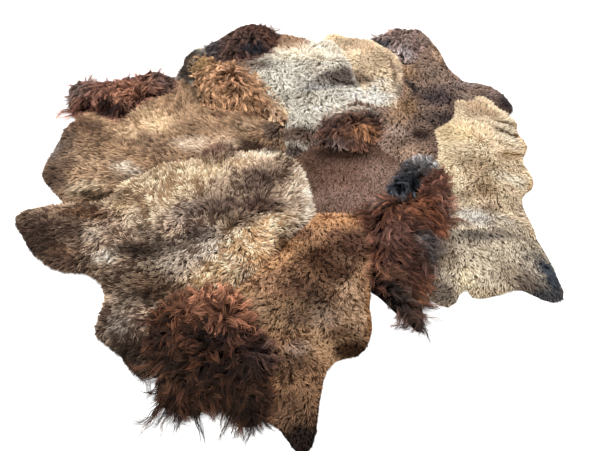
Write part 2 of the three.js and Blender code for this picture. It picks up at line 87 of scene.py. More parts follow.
# The mounds of long wool, as points on the floor all round each one.
MANES = {
    "front_mane": [
        (-440, -700), (-452, -780), (-436, -850), (-412, -900), (-403, -945), (-392, -1004),
        (-330, -1036), (-275, -1044), (-220, -1023), (-162, -1040), (-106, -1078), (-60, -1068),
        (-36, -1030), (-40, -960), (-28, -900), (-40, -835), (-80, -775), (-118, -715),
        (-155, -645), (-225, -605), (-305, -612), (-385, -650),
    ],
    "left_mane": [
        (-1120, 560), (-1105, 480), (-1070, 400), (-1030, 350), (-960, 385), (-900, 370),
        (-850, 332), (-800, 328), (-760, 375), (-735, 440), (-700, 475), (-630, 500), (-595, 545),
        (-590, 630), (-650, 672), (-710, 690), (-800, 650), (-900, 618), (-1000, 615),
        (-1080, 612),
    ],
    "golden_mane": [
        (-522, 740), (-500, 685), (-475, 610), (-440, 530), (-425, 450), (-370, 402), (-300, 388),
        (-220, 380), (-150, 385), (-100, 345), (-60, 310), (-8, 302), (2, 335), (-22, 400),
        (-60, 475), (-105, 545), (-150, 615), (-195, 690), (-245, 740), (-300, 775), (-350, 752),
        (-390, 792), (-445, 822), (-500, 795),
    ],
    "top_mane": [
        (-462, 915), (-440, 860), (-400, 800), (-330, 780), (-250, 788), (-180, 812), (-120, 842),
        (-78, 880), (-60, 950), (-56, 1040), (-85, 1082), (-140, 1118), (-210, 1135), (-280, 1105),
        (-335, 1050), (-400, 975),
    ],
    "centre_mane": [
        (165, 225), (178, 168), (235, 140), (305, 128), (372, 120), (402, 168), (440, 200),
        (460, 260), (456, 340), (438, 415), (385, 425), (345, 430), (295, 402), (240, 392),
        (200, 350), (175, 290),
    ],
    "dark_mane": [
        (452, -140), (470, -85), (505, -35), (528, 15), (572, 40), (625, 62), (678, 50), (688, 5),
        (645, -25), (605, -65), (585, -115), (545, -152), (495, -158),
    ],
    "shoulder_mane": [
        (342, -250), (380, -195), (450, -165), (520, -165), (580, -150), (612, -95), (640, -35),
        (690, 5), (714, -40), (712, -130), (694, -215), (678, -288), (640, -325), (605, -380),
        (598, -460), (570, -525), (538, -565), (522, -630), (518, -690), (512, -740), (489, -761),
        (464, -735), (423, -693), (389, -653), (360, -622), (336, -599), (342, -540), (358, -470),
        (366, -400), (348, -325),
    ],
    "back_mane": [
        (482, 1000), (512, 958), (548, 918), (585, 892), (606, 850), (628, 792), (655, 765),
        (695, 800), (732, 860), (752, 940), (742, 1020), (712, 1085), (645, 1102), (598, 1090),
        (550, 1052), (508, 1030),
    ],
}


def rounded(points, steps=4):
    """A smooth anticlockwise loop through points."""
    p = np.array(points, float)
    if (p[:, 0] * np.roll(p[:, 1], -1) - np.roll(p[:, 0], -1) * p[:, 1]).sum() < 0:
        p = p[::-1]
    before, after, last = np.roll(p, 1, axis=0), np.roll(p, -1, axis=0), np.roll(p, -2, axis=0)
    t = (np.arange(steps) / steps)[None, :, None]
    a, b, c, d = before[:, None], p[:, None], after[:, None], last[:, None]
    curve = b + 0.5 * t * (c - a + t * (2 * a - 5 * b + 4 * c - d + t * (3 * (b - c) + d - a)))
    return curve.reshape(-1, 2)


def tint(code):
    """A colour from its hexadecimal code, as linear red, green and blue."""
    channels = [int(code[i : i + 2], 16) / 255 for i in (1, 3, 5)]
    return np.array([c / 12.92 if c < 0.04045 else ((c + 0.055) / 1.055) ** 2.4 for c in channels])


def merged_node(node):
    """A CAD node's vertices in millimetres and its triangles, with doubled vertices merged."""
    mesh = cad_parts[node].data
    points = np.empty(len(mesh.vertices) * 3, np.float32)
    mesh.vertices.foreach_get("co", points)
    keys, back = np.unique(np.round(points.reshape(-1, 3) / MM, 2), axis=0, return_inverse=True)
    mesh.calc_loop_triangles()
    corners = np.empty(len(mesh.loop_triangles) * 3, np.int32)
    mesh.loop_triangles.foreach_get("vertices", corners)
    return keys, back.ravel()[corners].reshape(-1, 3)


def outline_of(node):
    """The outline of a node's foot on the floor, anticlockwise seen from above, in millimetres."""
    points, triangles = merged_node(node)
    low = triangles[(points[triangles, 2] < ON_FLOOR).all(axis=1)]
    sides = {(a, b) for t in low.tolist() for a, b in zip(t, t[1:] + t[:1])}
    following = {b: a for a, b in sides if (b, a) not in sides}
    start = place = next(iter(following))
    loop = []
    while not loop or place != start:
        loop.append(points[place, :2])
        place = following[place]
    return np.array(loop)


def holds(loop, xy):
    """Whether each place lies inside a loop."""
    inside = np.zeros(len(xy), bool)
    for a, b in zip(loop, np.roll(loop, -1, axis=0)):
        if a[1] != b[1]:
            crosses = (a[1] > xy[:, 1]) != (b[1] > xy[:, 1])
            inside ^= crosses & (xy[:, 0] < (b[0] - a[0]) * (xy[:, 1] - a[1]) / (b[1] - a[1]) + a[0])
    return inside


def edge_of(loop, xy):
    """How far inside a loop each place is, and the way out to the nearest point of its edge."""
    sides = np.roll(loop, -1, axis=0) - loop
    lengths = (sides**2).sum(axis=1)
    depth, way = np.empty(len(xy)), np.empty((len(xy), 2))
    for part in np.array_split(np.arange(len(xy)), len(xy) // PLACES_AT_ONCE + 1):
        gap = xy[part, None] - loop
        along = np.clip((gap * sides).sum(axis=2) / lengths, 0, 1)
        off = along[..., None] * sides - gap
        far = (off**2).sum(axis=2)
        best = far.argmin(axis=1)
        rows = np.arange(len(part))
        depth[part] = np.sqrt(far[rows, best])
        way[part] = off[rows, best] / np.maximum(depth[part], TINY)[:, None]
    return np.where(holds(loop, xy), depth, -depth), way


def grain(xy, size, seed):
    """Soft random values from 0 to 1 that change over about the given size, alike in every run."""
    cell = np.floor(xy / size)
    t = xy / size - cell
    t = t * t * (3 - 2 * t)

    def at(dx, dy):
        n = np.sin((cell[:, 0] + dx) * 127.1 + (cell[:, 1] + dy) * 311.7 + seed * 74.7) * 43758.5453
        return n - np.floor(n)

    low = at(0, 0) * (1 - t[:, 0]) + at(1, 0) * t[:, 0]
    high = at(0, 1) * (1 - t[:, 0]) + at(1, 1) * t[:, 0]
    return low * (1 - t[:, 1]) + high * t[:, 1]


def tufts_at(xy, cell, seed):
    """The nearest of many scattered tuft centres to each place, with two random values of that tuft."""
    home = np.floor(xy / cell)
    best, centre, key = np.full(len(xy), np.inf), np.zeros_like(xy), np.zeros_like(xy)
    for dx in (-1, 0, 1):
        for dy in (-1, 0, 1):
            spot = home + (dx, dy)
            shift = np.stack([grain(spot, 1, seed), grain(spot, 1, seed + 0.5)], axis=1)
            place = (spot + 0.1 + 0.8 * shift) * cell
            far = ((place - xy) ** 2).sum(axis=1)
            nearer = far < best
            best[nearer], centre[nearer], key[nearer] = far[nearer], place[nearer], spot[nearer]
    return centre, grain(key, 1, seed + 1.1), grain(key, 1, seed + 1.7)


def mesh_piece(name, points, faces, materials, shades):
    """A new smooth piece from points in millimetres, triangles and a colour for each point."""
    mesh = bpy.data.meshes.new(name)
    mesh.vertices.add(len(points))
    mesh.vertices.foreach_set("co", (np.asarray(points, np.float32) * MM).ravel())
    mesh.loops.add(len(faces) * 3)
    mesh.loops.foreach_set("vertex_index", np.asarray(faces, np.int32).ravel())
    mesh.polygons.add(len(faces))
    mesh.polygons.foreach_set("loop_start", np.arange(0, len(faces) * 3, 3, dtype=np.int32))
    mesh.polygons.foreach_set("use_smooth", np.ones(len(faces), bool))
    mesh.update(calc_edges=True)
    for material in materials:
        mesh.materials.append(material)
    # Each point's colour: the wool's own colour together with painted light and shade.
    colours = mesh.color_attributes.new("wool_colour_and_light", "BYTE_COLOR", "POINT")
    rgba = np.ones((len(points), 4), np.float32)
    rgba[:, : shades.shape[1]] = shades
    colours.data.foreach_set("color", rgba.ravel())
    piece = bpy.data.objects.new(name, mesh)
    bpy.context.scene.collection.objects.link(piece)
    return piece


class Shade:
    """A shader socket that adds Math nodes when it is used in a sum."""

    def __init__(self, tree, socket=None):
        self.tree, self.socket = tree, socket

    def node(self, kind, settings=None, **sockets):
        """A new node of a type, with its settings and then the values or links of its sockets. A socket
        goes by its name, with _ for a space, or by its number as i0, i1 and so on."""
        made = self.tree.nodes.new(kind)
        for key, value in (settings or {}).items():
            if key == "stops":
                for stop, (position, code) in zip(made.color_ramp.elements, value):
                    stop.position, stop.color = position, (*tint(code), 1)
            else:
                setattr(made, key, value)
        for key, value in sockets.items():
            place = made.inputs[int(key[1:]) if key[1:].isdigit() else key.replace("_", " ")]
            if isinstance(value, Shade):
                self.tree.links.new(value.socket, place)
            else:
                place.default_value = value
        return made

    def out(self, made, name=0):
        """One output of a node."""
        return Shade(self.tree, made.outputs[name])

    def feed(self, surface, name):
        """Links this socket to an input of the shader."""
        self.tree.links.new(self.socket, surface.inputs[name])

    def math(self, operation, a, b):
        """A sum of two values, as a Math node."""
        return self.out(self.node("ShaderNodeMath", {"operation": operation}, i0=a, i1=b))

    def __add__(self, other):
        return self.math("ADD", self, other)

    def __mul__(self, other):
        return self.math("MULTIPLY", self, other)

    __radd__, __rmul__ = __add__, __mul__


def new_material(name):
    """An empty material, with its shader and a Shade to build on."""
    material = bpy.data.materials.new(name)
    material.use_nodes = True
    tree = material.node_tree
    return material, tree.nodes["Principled BSDF"], Shade(tree)


def noise(tools, settings=None, **sockets):
    """Noise over a piece, in its own coordinates."""
    place = tools.out(tools.node("ShaderNodeTexCoord"), "Object")
    return tools.out(tools.node("ShaderNodeTexNoise", settings, Vector=place, **sockets), "Fac")


def lit_by(tools, colour, grey):
    """A colour made darker or lighter by a grey."""
    lift = tools.out(tools.node("ShaderNodeCombineColor", i0=grey, i1=grey, i2=grey))
    multiply = {"data_type": "RGBA", "blend_type": "MULTIPLY"}
    return tools.out(tools.node("ShaderNodeMix", multiply, i0=1.0, i6=colour, i7=lift), 2)


def wool_material(name, sheen, shine, gloss, softness):
    """Wool: its colour is painted on each lock, and strands run along the lock and crimp across it. The
    softness is how far the shading of the locks is evened out, towards that of a flat fleece."""
    material, surface, tools = new_material(name)
    painted = tools.node("ShaderNodeAttribute", {"attribute_name": "wool_colour_and_light"})
    across = tools.out(painted, "Alpha") * 3.5
    strands = noise(tools, {"noise_dimensions": "4D"}, W=across, Scale=70.0, Detail=2.0, Roughness=0.6)
    lit_by(tools, tools.out(painted, "Color"), strands * 1.5 + 0.25).feed(surface, "Base Color")
    (strands * 0.3 + (0.9 - shine)).feed(surface, "Roughness")
    facing = tools.out(tools.node("ShaderNodeNewGeometry"), "Normal")
    eased = tools.node("ShaderNodeMix", {"data_type": "VECTOR"}, i0=softness, i4=facing, i5=(0.0, 0.0, 1.0))
    evened = tools.out(tools.node("ShaderNodeVectorMath", {"operation": "NORMALIZE"}, i0=tools.out(eased, 1)))
    bump = tools.node("ShaderNodeBump", Height=strands, Strength=0.4, Distance=0.002, Normal=evened)
    tools.out(bump).feed(surface, "Normal")
    surface.inputs["Sheen Weight"].default_value = sheen
    surface.inputs["Sheen Roughness"].default_value = 0.5
    surface.inputs["Sheen Tint"].default_value = (*tint("#e8cfa8"), 1)
    surface.inputs["Specular IOR Level"].default_value = gloss
    return material


def underwool_material():
    """The dense short underwool at the skin, felted; the colour painted on it is darkened, as painted shade
    between the locks.
    """
    material, surface, tools = new_material("underwool")
    painted = tools.out(tools.node("ShaderNodeAttribute", {"attribute_name": "wool_colour_and_light"}), "Color")
    felt = noise(tools, Scale=160.0, Detail=5.0, Roughness=0.7)
    lit_by(tools, painted, felt + 0.3).feed(surface, "Base Color")
    tools.out(tools.node("ShaderNodeBump", Height=felt, Strength=0.9, Distance=0.004)).feed(surface, "Normal")
    surface.inputs["Roughness"].default_value = 0.95
    surface.inputs["Specular IOR Level"].default_value = 0.03
    return material


def suede_material():
    """The tanned leather side, a pale fawn suede with faint blotches."""
    material, surface, tools = new_material("tanned_suede")
    blotch = noise(tools, Scale=9.0, Detail=4.0)
    nap = noise(tools, Scale=700.0, Detail=2.0)
    fawn = tools.node("ShaderNodeValToRGB", {"stops": ((0.35, "#b8966e"), (0.7, "#d6bd98"))}, Fac=blotch)
    tools.out(fawn).feed(surface, "Base Color")
    (nap * 0.2 + 0.75).feed(surface, "Roughness")
    tools.out(tools.node("ShaderNodeBump", Height=nap, Strength=0.3, Distance=0.0005)).feed(surface, "Normal")
    surface.inputs["Sheen Weight"].default_value = 0.2
    return material


UNDERWOOL = underwool_material()
SUEDE = suede_material()
OUTLINES = {node: rounded(MANES[node]) if node in MANES else outline_of(node) for node in LAYERS}
SKIN_STEP = 24
ROW_STEP = 0.866 * SKIN_STEP
EDGE_CLEARANCE = 0.6 * SKIN_STEP
SKIN_FOOT = 0.6


def spread(loop):
    """Places an even step apart inside a loop, clear of its edge."""
    low, high = loop.min(axis=0), loop.max(axis=0)
    places = []
    for row, y in enumerate(np.arange(low[1], high[1], ROW_STEP)):
        shift = 0.5 * SKIN_STEP if row % 2 else 0
        places += [(x + shift, y) for x in np.arange(low[0], high[0], SKIN_STEP)]
    places = np.array(places)
    depth, _ = edge_of(loop, places)
    return places[depth > EDGE_CLEARANCE]


def fine_loop(loop):
    """A loop with its long sides split."""
    parts = []
    for a, b in zip(loop, np.roll(loop, -1, axis=0)):
        count = max(1, round(float(np.linalg.norm(b - a)) / SKIN_STEP))
        parts.append(a + (b - a) * (np.arange(count) / count)[:, None])
    return np.concatenate(parts)


def covered(loop):
    """Triangles over a loop, as places and the corners of the triangles."""
    edge = fine_loop(loop)
    places = np.concatenate([edge, spread(loop)])
    made = delaunay_2d_cdt([tuple(p) for p in places], [], [list(range(len(edge)))], 1, 1e-4)
    return np.array([tuple(p) for p in made[0]]), np.array([list(f) for f in made[2]])


def inset(loop, by):
    """A loop drawn in all round, without the points that end up nearly on one another."""
    before, after = np.roll(loop, 1, axis=0), np.roll(loop, -1, axis=0)
    along = (after - before) / np.maximum(np.linalg.norm(after - before, axis=1), TINY)[:, None]
    moved = loop + by * np.stack([-along[:, 1], along[:, 0]], axis=1)
    return moved[np.linalg.norm(moved - np.roll(moved, 1, axis=0), axis=1) > 1]


def base_piece(name, loop, top_of, shade_of):
    """A skin with its dense underwool: a flat leather side on the floor under a rounded top."""
    places, faces = covered(loop)
    turn = np.cross(places[faces[:, 1]] - places[faces[:, 0]], places[faces[:, 2]] - places[faces[:, 0]])
    faces[turn < 0] = faces[turn < 0][:, ::-1]
    count = len(places)
    top = np.column_stack([places, top_of(places)])
    foot = np.column_stack([places, np.full(count, SKIN_FOOT)])
    sides = {(a, b) for t in faces.tolist() for a, b in zip(t, t[1:] + t[:1])}
    rim = [(a, b) for a, b in sides if (b, a) not in sides]
    walls = [t for a, b in rim for t in ((a + count, b + count, b), (a + count, b, a))]
    triangles = np.concatenate([faces, faces[:, ::-1] + count, walls])
    shades = np.concatenate([shade_of(places)] * 2)
    piece = mesh_piece(name, np.concatenate([top, foot]), triangles, [UNDERWOOL, SUEDE], shades)
    kinds = np.zeros(len(triangles), np.int32)
    kinds[len(faces) : 2 * len(faces)] = 1
    piece.data.polygons.foreach_set("material_index", kinds)
    return piece


PATCH_WAVES = 42
FLOW_REACH = 60.0


def tone_at(xy, tones):
    """The tip and root colours of the wool at each place. The roots are darker, partly the wool's own colour
    and partly painted shade. The first tone lies all over, and each other is a patch: x, y, half width, half
    length, turn in degrees, strength, tip colour, root colour."""
    tip = np.tile(tint(tones[0][0]), (len(xy), 1))
    root = np.tile(tint(tones[0][1]), (len(xy), 1))
    for x, y, wide, long, turn, strength, tip_code, root_code in tones[1:]:
        c, s = math.cos(math.radians(turn)), math.sin(math.radians(turn))
        u, v = xy[:, 0] - x, xy[:, 1] - y
        wobble = 0.75 + 0.5 * grain(xy, PATCH_WAVES, x + y)
        far = (((c * u + s * v) / wide) ** 2 + ((c * v - s * u) / long) ** 2) * wobble
        share = (strength * np.clip(1.6 * np.exp(-far) - 0.1, 0, 1))[:, None]
        tip += share * (tint(tip_code) - tip)
        root += share * (tint(root_code) - root)
    return tip, root


def flow_at(xy, flows):
    """The way the wool lies at each place, from rows of x, y and the direction in degrees."""
    way = np.zeros((len(xy), 2))
    for x, y, turn in flows:
        near = 1 / (((xy - (x, y)) ** 2).sum(axis=1) + FLOW_REACH**2)
        way += (near**1.5)[:, None] * (math.cos(math.radians(turn)), math.sin(math.radians(turn)))
    return np.arctan2(way[:, 1], way[:, 0])


def ways(angle):
    """Level directions from angles in radians."""
    return np.stack([np.cos(angle), np.sin(angle)], axis=1)


def neighbour_ranks(node, xy):
    """How a piece lies to what is at places outside it: 1 over that piece, -1 under it, 0 on the floor."""
    rank = np.zeros(len(xy))
    mine = LAYERS.index(node)
    for other, loop in OUTLINES.items():
        low, high = loop.min(axis=0), loop.max(axis=0)
        near = ((xy > low) & (xy < high)).all(axis=1)
        if other != node and near.any():
            inside = np.zeros(len(xy), bool)
            inside[near] = holds(loop, xy[near])
            rank[inside] = 1 if LAYERS.index(other) > mine else -1
    return rank


def height_on(piece):
    """A function that gives the top of a piece over each place, in millimetres."""
    points = [v.co.copy() for v in piece.data.vertices]
    tree = BVHTree.FromPolygons(points, [tuple(p.vertices) for p in piece.data.polygons])

    def height(xy):
        found = np.zeros(len(xy))
        for i, (x, y) in enumerate((xy * MM).tolist()):
            hit = tree.ray_cast((x, y, 1.0), (0.0, 0.0, -1.0))[0]
            found[i] = hit.z / MM if hit else 0.0
        return found

    return height


SKIN_SHARE = 0.5
SKIN_INSET = 1
SKIN_LEAST = 2.5
TUFT_RELIEF = 2.2
TUFT_SIZE = 38
TUFT_MARGIN = 40


def skin(node, tones, painted_depth_shade):
    """A skin's leather and underwool, in the place of its CAD solid. Its colour is the roots' colour darkened
    by the last argument: painted shade deep between the locks.
    """
    over = height_on(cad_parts[node])
    loop = inset(OUTLINES[node], SKIN_INSET)

    def top_of(xy):
        depth, _ = edge_of(loop, xy)
        lumps = TUFT_RELIEF * (grain(xy, TUFT_SIZE, 3) - 0.5) * np.clip(depth / TUFT_MARGIN, 0, 1)
        return np.maximum(SKIN_SHARE * over(xy) + lumps, SKIN_LEAST)

    piece = base_piece(node + "_skin", loop, top_of, lambda xy: tone_at(xy, tones)[1] * painted_depth_shade)
    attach(piece, "root")
    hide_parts(node)
    return piece


def ribbons(line, roll, half):
    """Tapered ribbons along lines of places: each line's last place is a point. A ribbon lies level, but
    for its roll in radians. Gives the corners in a row for each ribbon and the faces."""
    along = np.gradient(line[..., :2], axis=1)
    along /= np.maximum(np.linalg.norm(along, axis=-1, keepdims=True), TINY)
    rise = np.broadcast_to(np.sin(roll), along.shape[:2])
    across = np.stack([-along[..., 1] * np.cos(roll), along[..., 0] * np.cos(roll), rise], axis=-1)
    count, steps = line.shape[:2]
    left, right = line - across * half[..., None], line + across * half[..., None]
    pairs = np.stack([left[:, :-1], right[:, :-1]], axis=2).reshape(count, 2 * steps - 2, 3)
    points = np.concatenate([pairs, line[:, -1:]], axis=1)
    one = []
    for k in range(0, 2 * steps - 4, 2):
        one += [(k, k + 1, k + 3), (k, k + 3, k + 2)]
    one.append((2 * steps - 4, 2 * steps - 3, 2 * steps - 2))
    return points, np.arange(count)[:, None, None] * (2 * steps - 1) + np.array(one)


def ribbon_piece(name, line, roll, half, shades, material):
    """A piece made of ribbons, with a colour at each step along them."""
    points, faces = ribbons(line, roll, half)
    steps = line.shape[1]
    rows = np.append(np.repeat(np.arange(steps - 1), 2), steps - 1)
    sides = np.append(np.tile([0.0, 1.0], steps - 1), 0.5)
    side = np.broadcast_to(sides[None, :, None], (len(line), len(sides), 1))
    rgba = np.concatenate([shades[:, rows], side], axis=2)
    colours = np.clip(rgba.reshape(-1, 4), 0, 1)
    piece = mesh_piece(name, points.reshape(-1, 3), faces.reshape(-1, 3), [material], colours)
    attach(piece, "root")
    return piece


ROOT_INSET = 3


def rooted(node, gap, random):
    """Places scattered about a gap apart on a piece, how far inside its edge each is, and the way out."""
    loop = OUTLINES[node]
    low, high = loop.min(axis=0), loop.max(axis=0)
    grid = np.stack(np.meshgrid(np.arange(low[0], high[0], gap), np.arange(low[1], high[1], gap)), axis=-1)
    roots = grid.reshape(-1, 2) + random.uniform(-0.5, 0.5, (grid.size // 2, 2)) * gap
    depth, out = edge_of(loop, roots)
    keep = depth > ROOT_INSET
    return roots[keep], depth[keep], out[keep]


LOCK_RIM = 20
LOCK_PAST_EDGE = 14
LOCK_SUNK = 1.5
LOCK_STEPS = np.array([0.0, 0.45, 1.0])
LOCK_ARCH = np.array([0.0, 0.85, 1.0])
LOCK_TAPER = np.array([0.8, 1.0, 0.0])
LOCK_LOW = (2.0, 4.0)
LOCK_LENGTHS = (0.75, 1.15)
LOCK_WIDTHS = (0.65, 1.3)
LOCK_ROLL = 0.3
WAY_SCATTER = 0.15
TURN_SCATTER = 0.5
LEAN_SCATTER = 6
RIM_LEAN = 14
BEND_SIZE = 70
WIDE_BEND = 2.6
TUFT_BEND = 1.4
SWELL_SIZE = 85
TIP_LIGHT = 1.18
DARK_FADE = 0.16
LIFE_SCATTER = 0.16

# At a rim over a lower skin, under a higher one and on the floor: how far the locks turn outwards, and
# the share that they lose of their length.
PUSH_OVER, PUSH_UNDER, PUSH_FLOOR = 1.6, -0.5, 1.5
SHORT_OVER, SHORT_UNDER, SHORT_FLOOR = 0.15, 0.45, 0.68

# How far the locks at a rim sink to the floor, and at a seam.
DROP_FLOOR, DROP_SEAM = 0.8, 0.25


def fleece(
    base, node, tones, flows, material, seed,
    gap=4.8, long=38, wide=5.0, lean=64, curl=0.7, tuft=0.4, fleck=0.35, cell=16, root_shade=0.4,
):
    """Short wool as thousands of tapered locks, rooted a gap apart and drawn together in tufts. A lock has a
    length, a width, a lean from upright in degrees and a curl that turns it from the way the wool lies.
    fleck is the share of tufts that are dark to their tips, cell the size of a tuft, tuft how far its locks
    are drawn to its middle. The last argument darkens the roots: painted shade deep between the locks."""
    random = np.random.default_rng(seed)
    roots, depth, out = rooted(node, gap, random)
    count = len(roots)
    rank = neighbour_ranks(node, roots + out * (depth + LOCK_PAST_EDGE)[:, None])
    rim = np.exp(-((depth / LOCK_RIM) ** 2))

    centre, tuft_turn, tuft_shade = tufts_at(roots, cell, seed)
    bend = grain(roots, BEND_SIZE, seed + 4) - 0.5
    angle = flow_at(roots, flows) + curl * WIDE_BEND * bend + curl * TUFT_BEND * (tuft_turn - 0.5)
    angle += random.normal(0, WAY_SCATTER, count)
    push = rim * np.select([rank > 0, rank < 0], [PUSH_OVER, PUSH_UNDER], PUSH_FLOOR)
    way = ways(angle) + out * push[:, None]
    angle = np.arctan2(way[:, 1], way[:, 0])

    swell = grain(roots, SWELL_SIZE, seed + 8)
    length = long * random.uniform(*LOCK_LENGTHS, count) * (0.85 + 0.3 * tuft_shade) * (0.8 + 0.4 * swell)
    length *= 1 - rim * np.select([rank < 0, rank > 0], [SHORT_UNDER, SHORT_OVER], SHORT_FLOOR)
    tilt = np.radians(lean + random.normal(0, LEAN_SCATTER, count) + np.where(rank < 0, 0, RIM_LEAN * rim))
    run, rise = length * np.sin(tilt), length * np.cos(tilt)
    foot = height_on(base)(roots) - LOCK_SUNK
    turn = curl * (random.normal(0, TURN_SCATTER, count) + 1.2 * (tuft_shade - 0.5)) * (1 - 0.7 * rim)

    xy = [roots]
    for before, after in zip(LOCK_STEPS, LOCK_STEPS[1:]):
        heading = angle + turn * (before + after) * 0.5
        xy.append(xy[-1] + ways(heading) * (run * (after - before))[:, None])
    pull = tuft * (centre - roots) * (1 - 0.6 * rim)[:, None]
    xy = np.stack(xy, axis=1) + pull[:, None] * LOCK_STEPS[None, :, None]
    drop = (rim * np.where(rank == 0, DROP_FLOOR, DROP_SEAM))[:, None]
    z = foot[:, None] + rise[:, None] * LOCK_ARCH * (1 - drop * LOCK_STEPS)
    z = z - 0.6 * foot[:, None] * drop * LOCK_STEPS**2
    z = np.maximum(z, random.uniform(*LOCK_LOW, (count, 1)))
    line = np.concatenate([xy, z[..., None]], axis=-1)
    roll = random.normal(0, LOCK_ROLL, (count, 1))
    half = 0.5 * wide * random.uniform(*LOCK_WIDTHS, (count, 1)) * LOCK_TAPER

    tip_tone, root_tone = tone_at(roots, tones)
    share = fleck * (0.4 + 1.2 * grain(centre, BEND_SIZE, seed + 6))
    shade = 0.65 * tuft_shade + 0.35 * random.random(count)
    dark = np.clip((shade - (1 - share)) / DARK_FADE + 0.5, 0, 1)[:, None]
    # Besides a random tone for each lock and tuft, the locks are darker where the wool is shorter: painted
    # shade in the hollows of the fleece.
    tone_and_painted_light = np.exp(random.normal(0, LIFE_SCATTER, count)) * (0.86 + 0.28 * tuft_turn) * (0.72 + 0.56 * swell)
    tone_and_painted_light = tone_and_painted_light[:, None]
    tip_shade = (tip_tone * TIP_LIGHT + dark * (0.85 * root_tone - tip_tone * TIP_LIGHT)) * tone_and_painted_light
    middle_shade = (0.4 * tip_tone + 0.6 * root_tone - 0.35 * dark * (tip_tone - root_tone)) * tone_and_painted_light
    # The roots are darkened further: painted shade deep between the locks.
    shades = np.stack([root_tone * root_shade, middle_shade, tip_shade], axis=1)
    return ribbon_piece(node + "_wool", line, roll, half, shades, material)


def hide(node, slot_name, tones, flows, material, seed, painted_depth_shade=0.5, **locks):
    """A whole skin with its wool. locks are the sizes and shares of fleece()."""
    skin_piece = skin(node, tones, painted_depth_shade)
    wool_piece = fleece(skin_piece, node, tones, flows, material, seed, **locks)
    loop = OUTLINES[node]
    after = np.roll(loop, -1, axis=0)
    area = 0.5 * float((loop[:, 0] * after[:, 1] - after[:, 0] * loop[:, 1]).sum()) * MM * MM
    size = (loop.max(axis=0) - loop.min(axis=0)) * MM


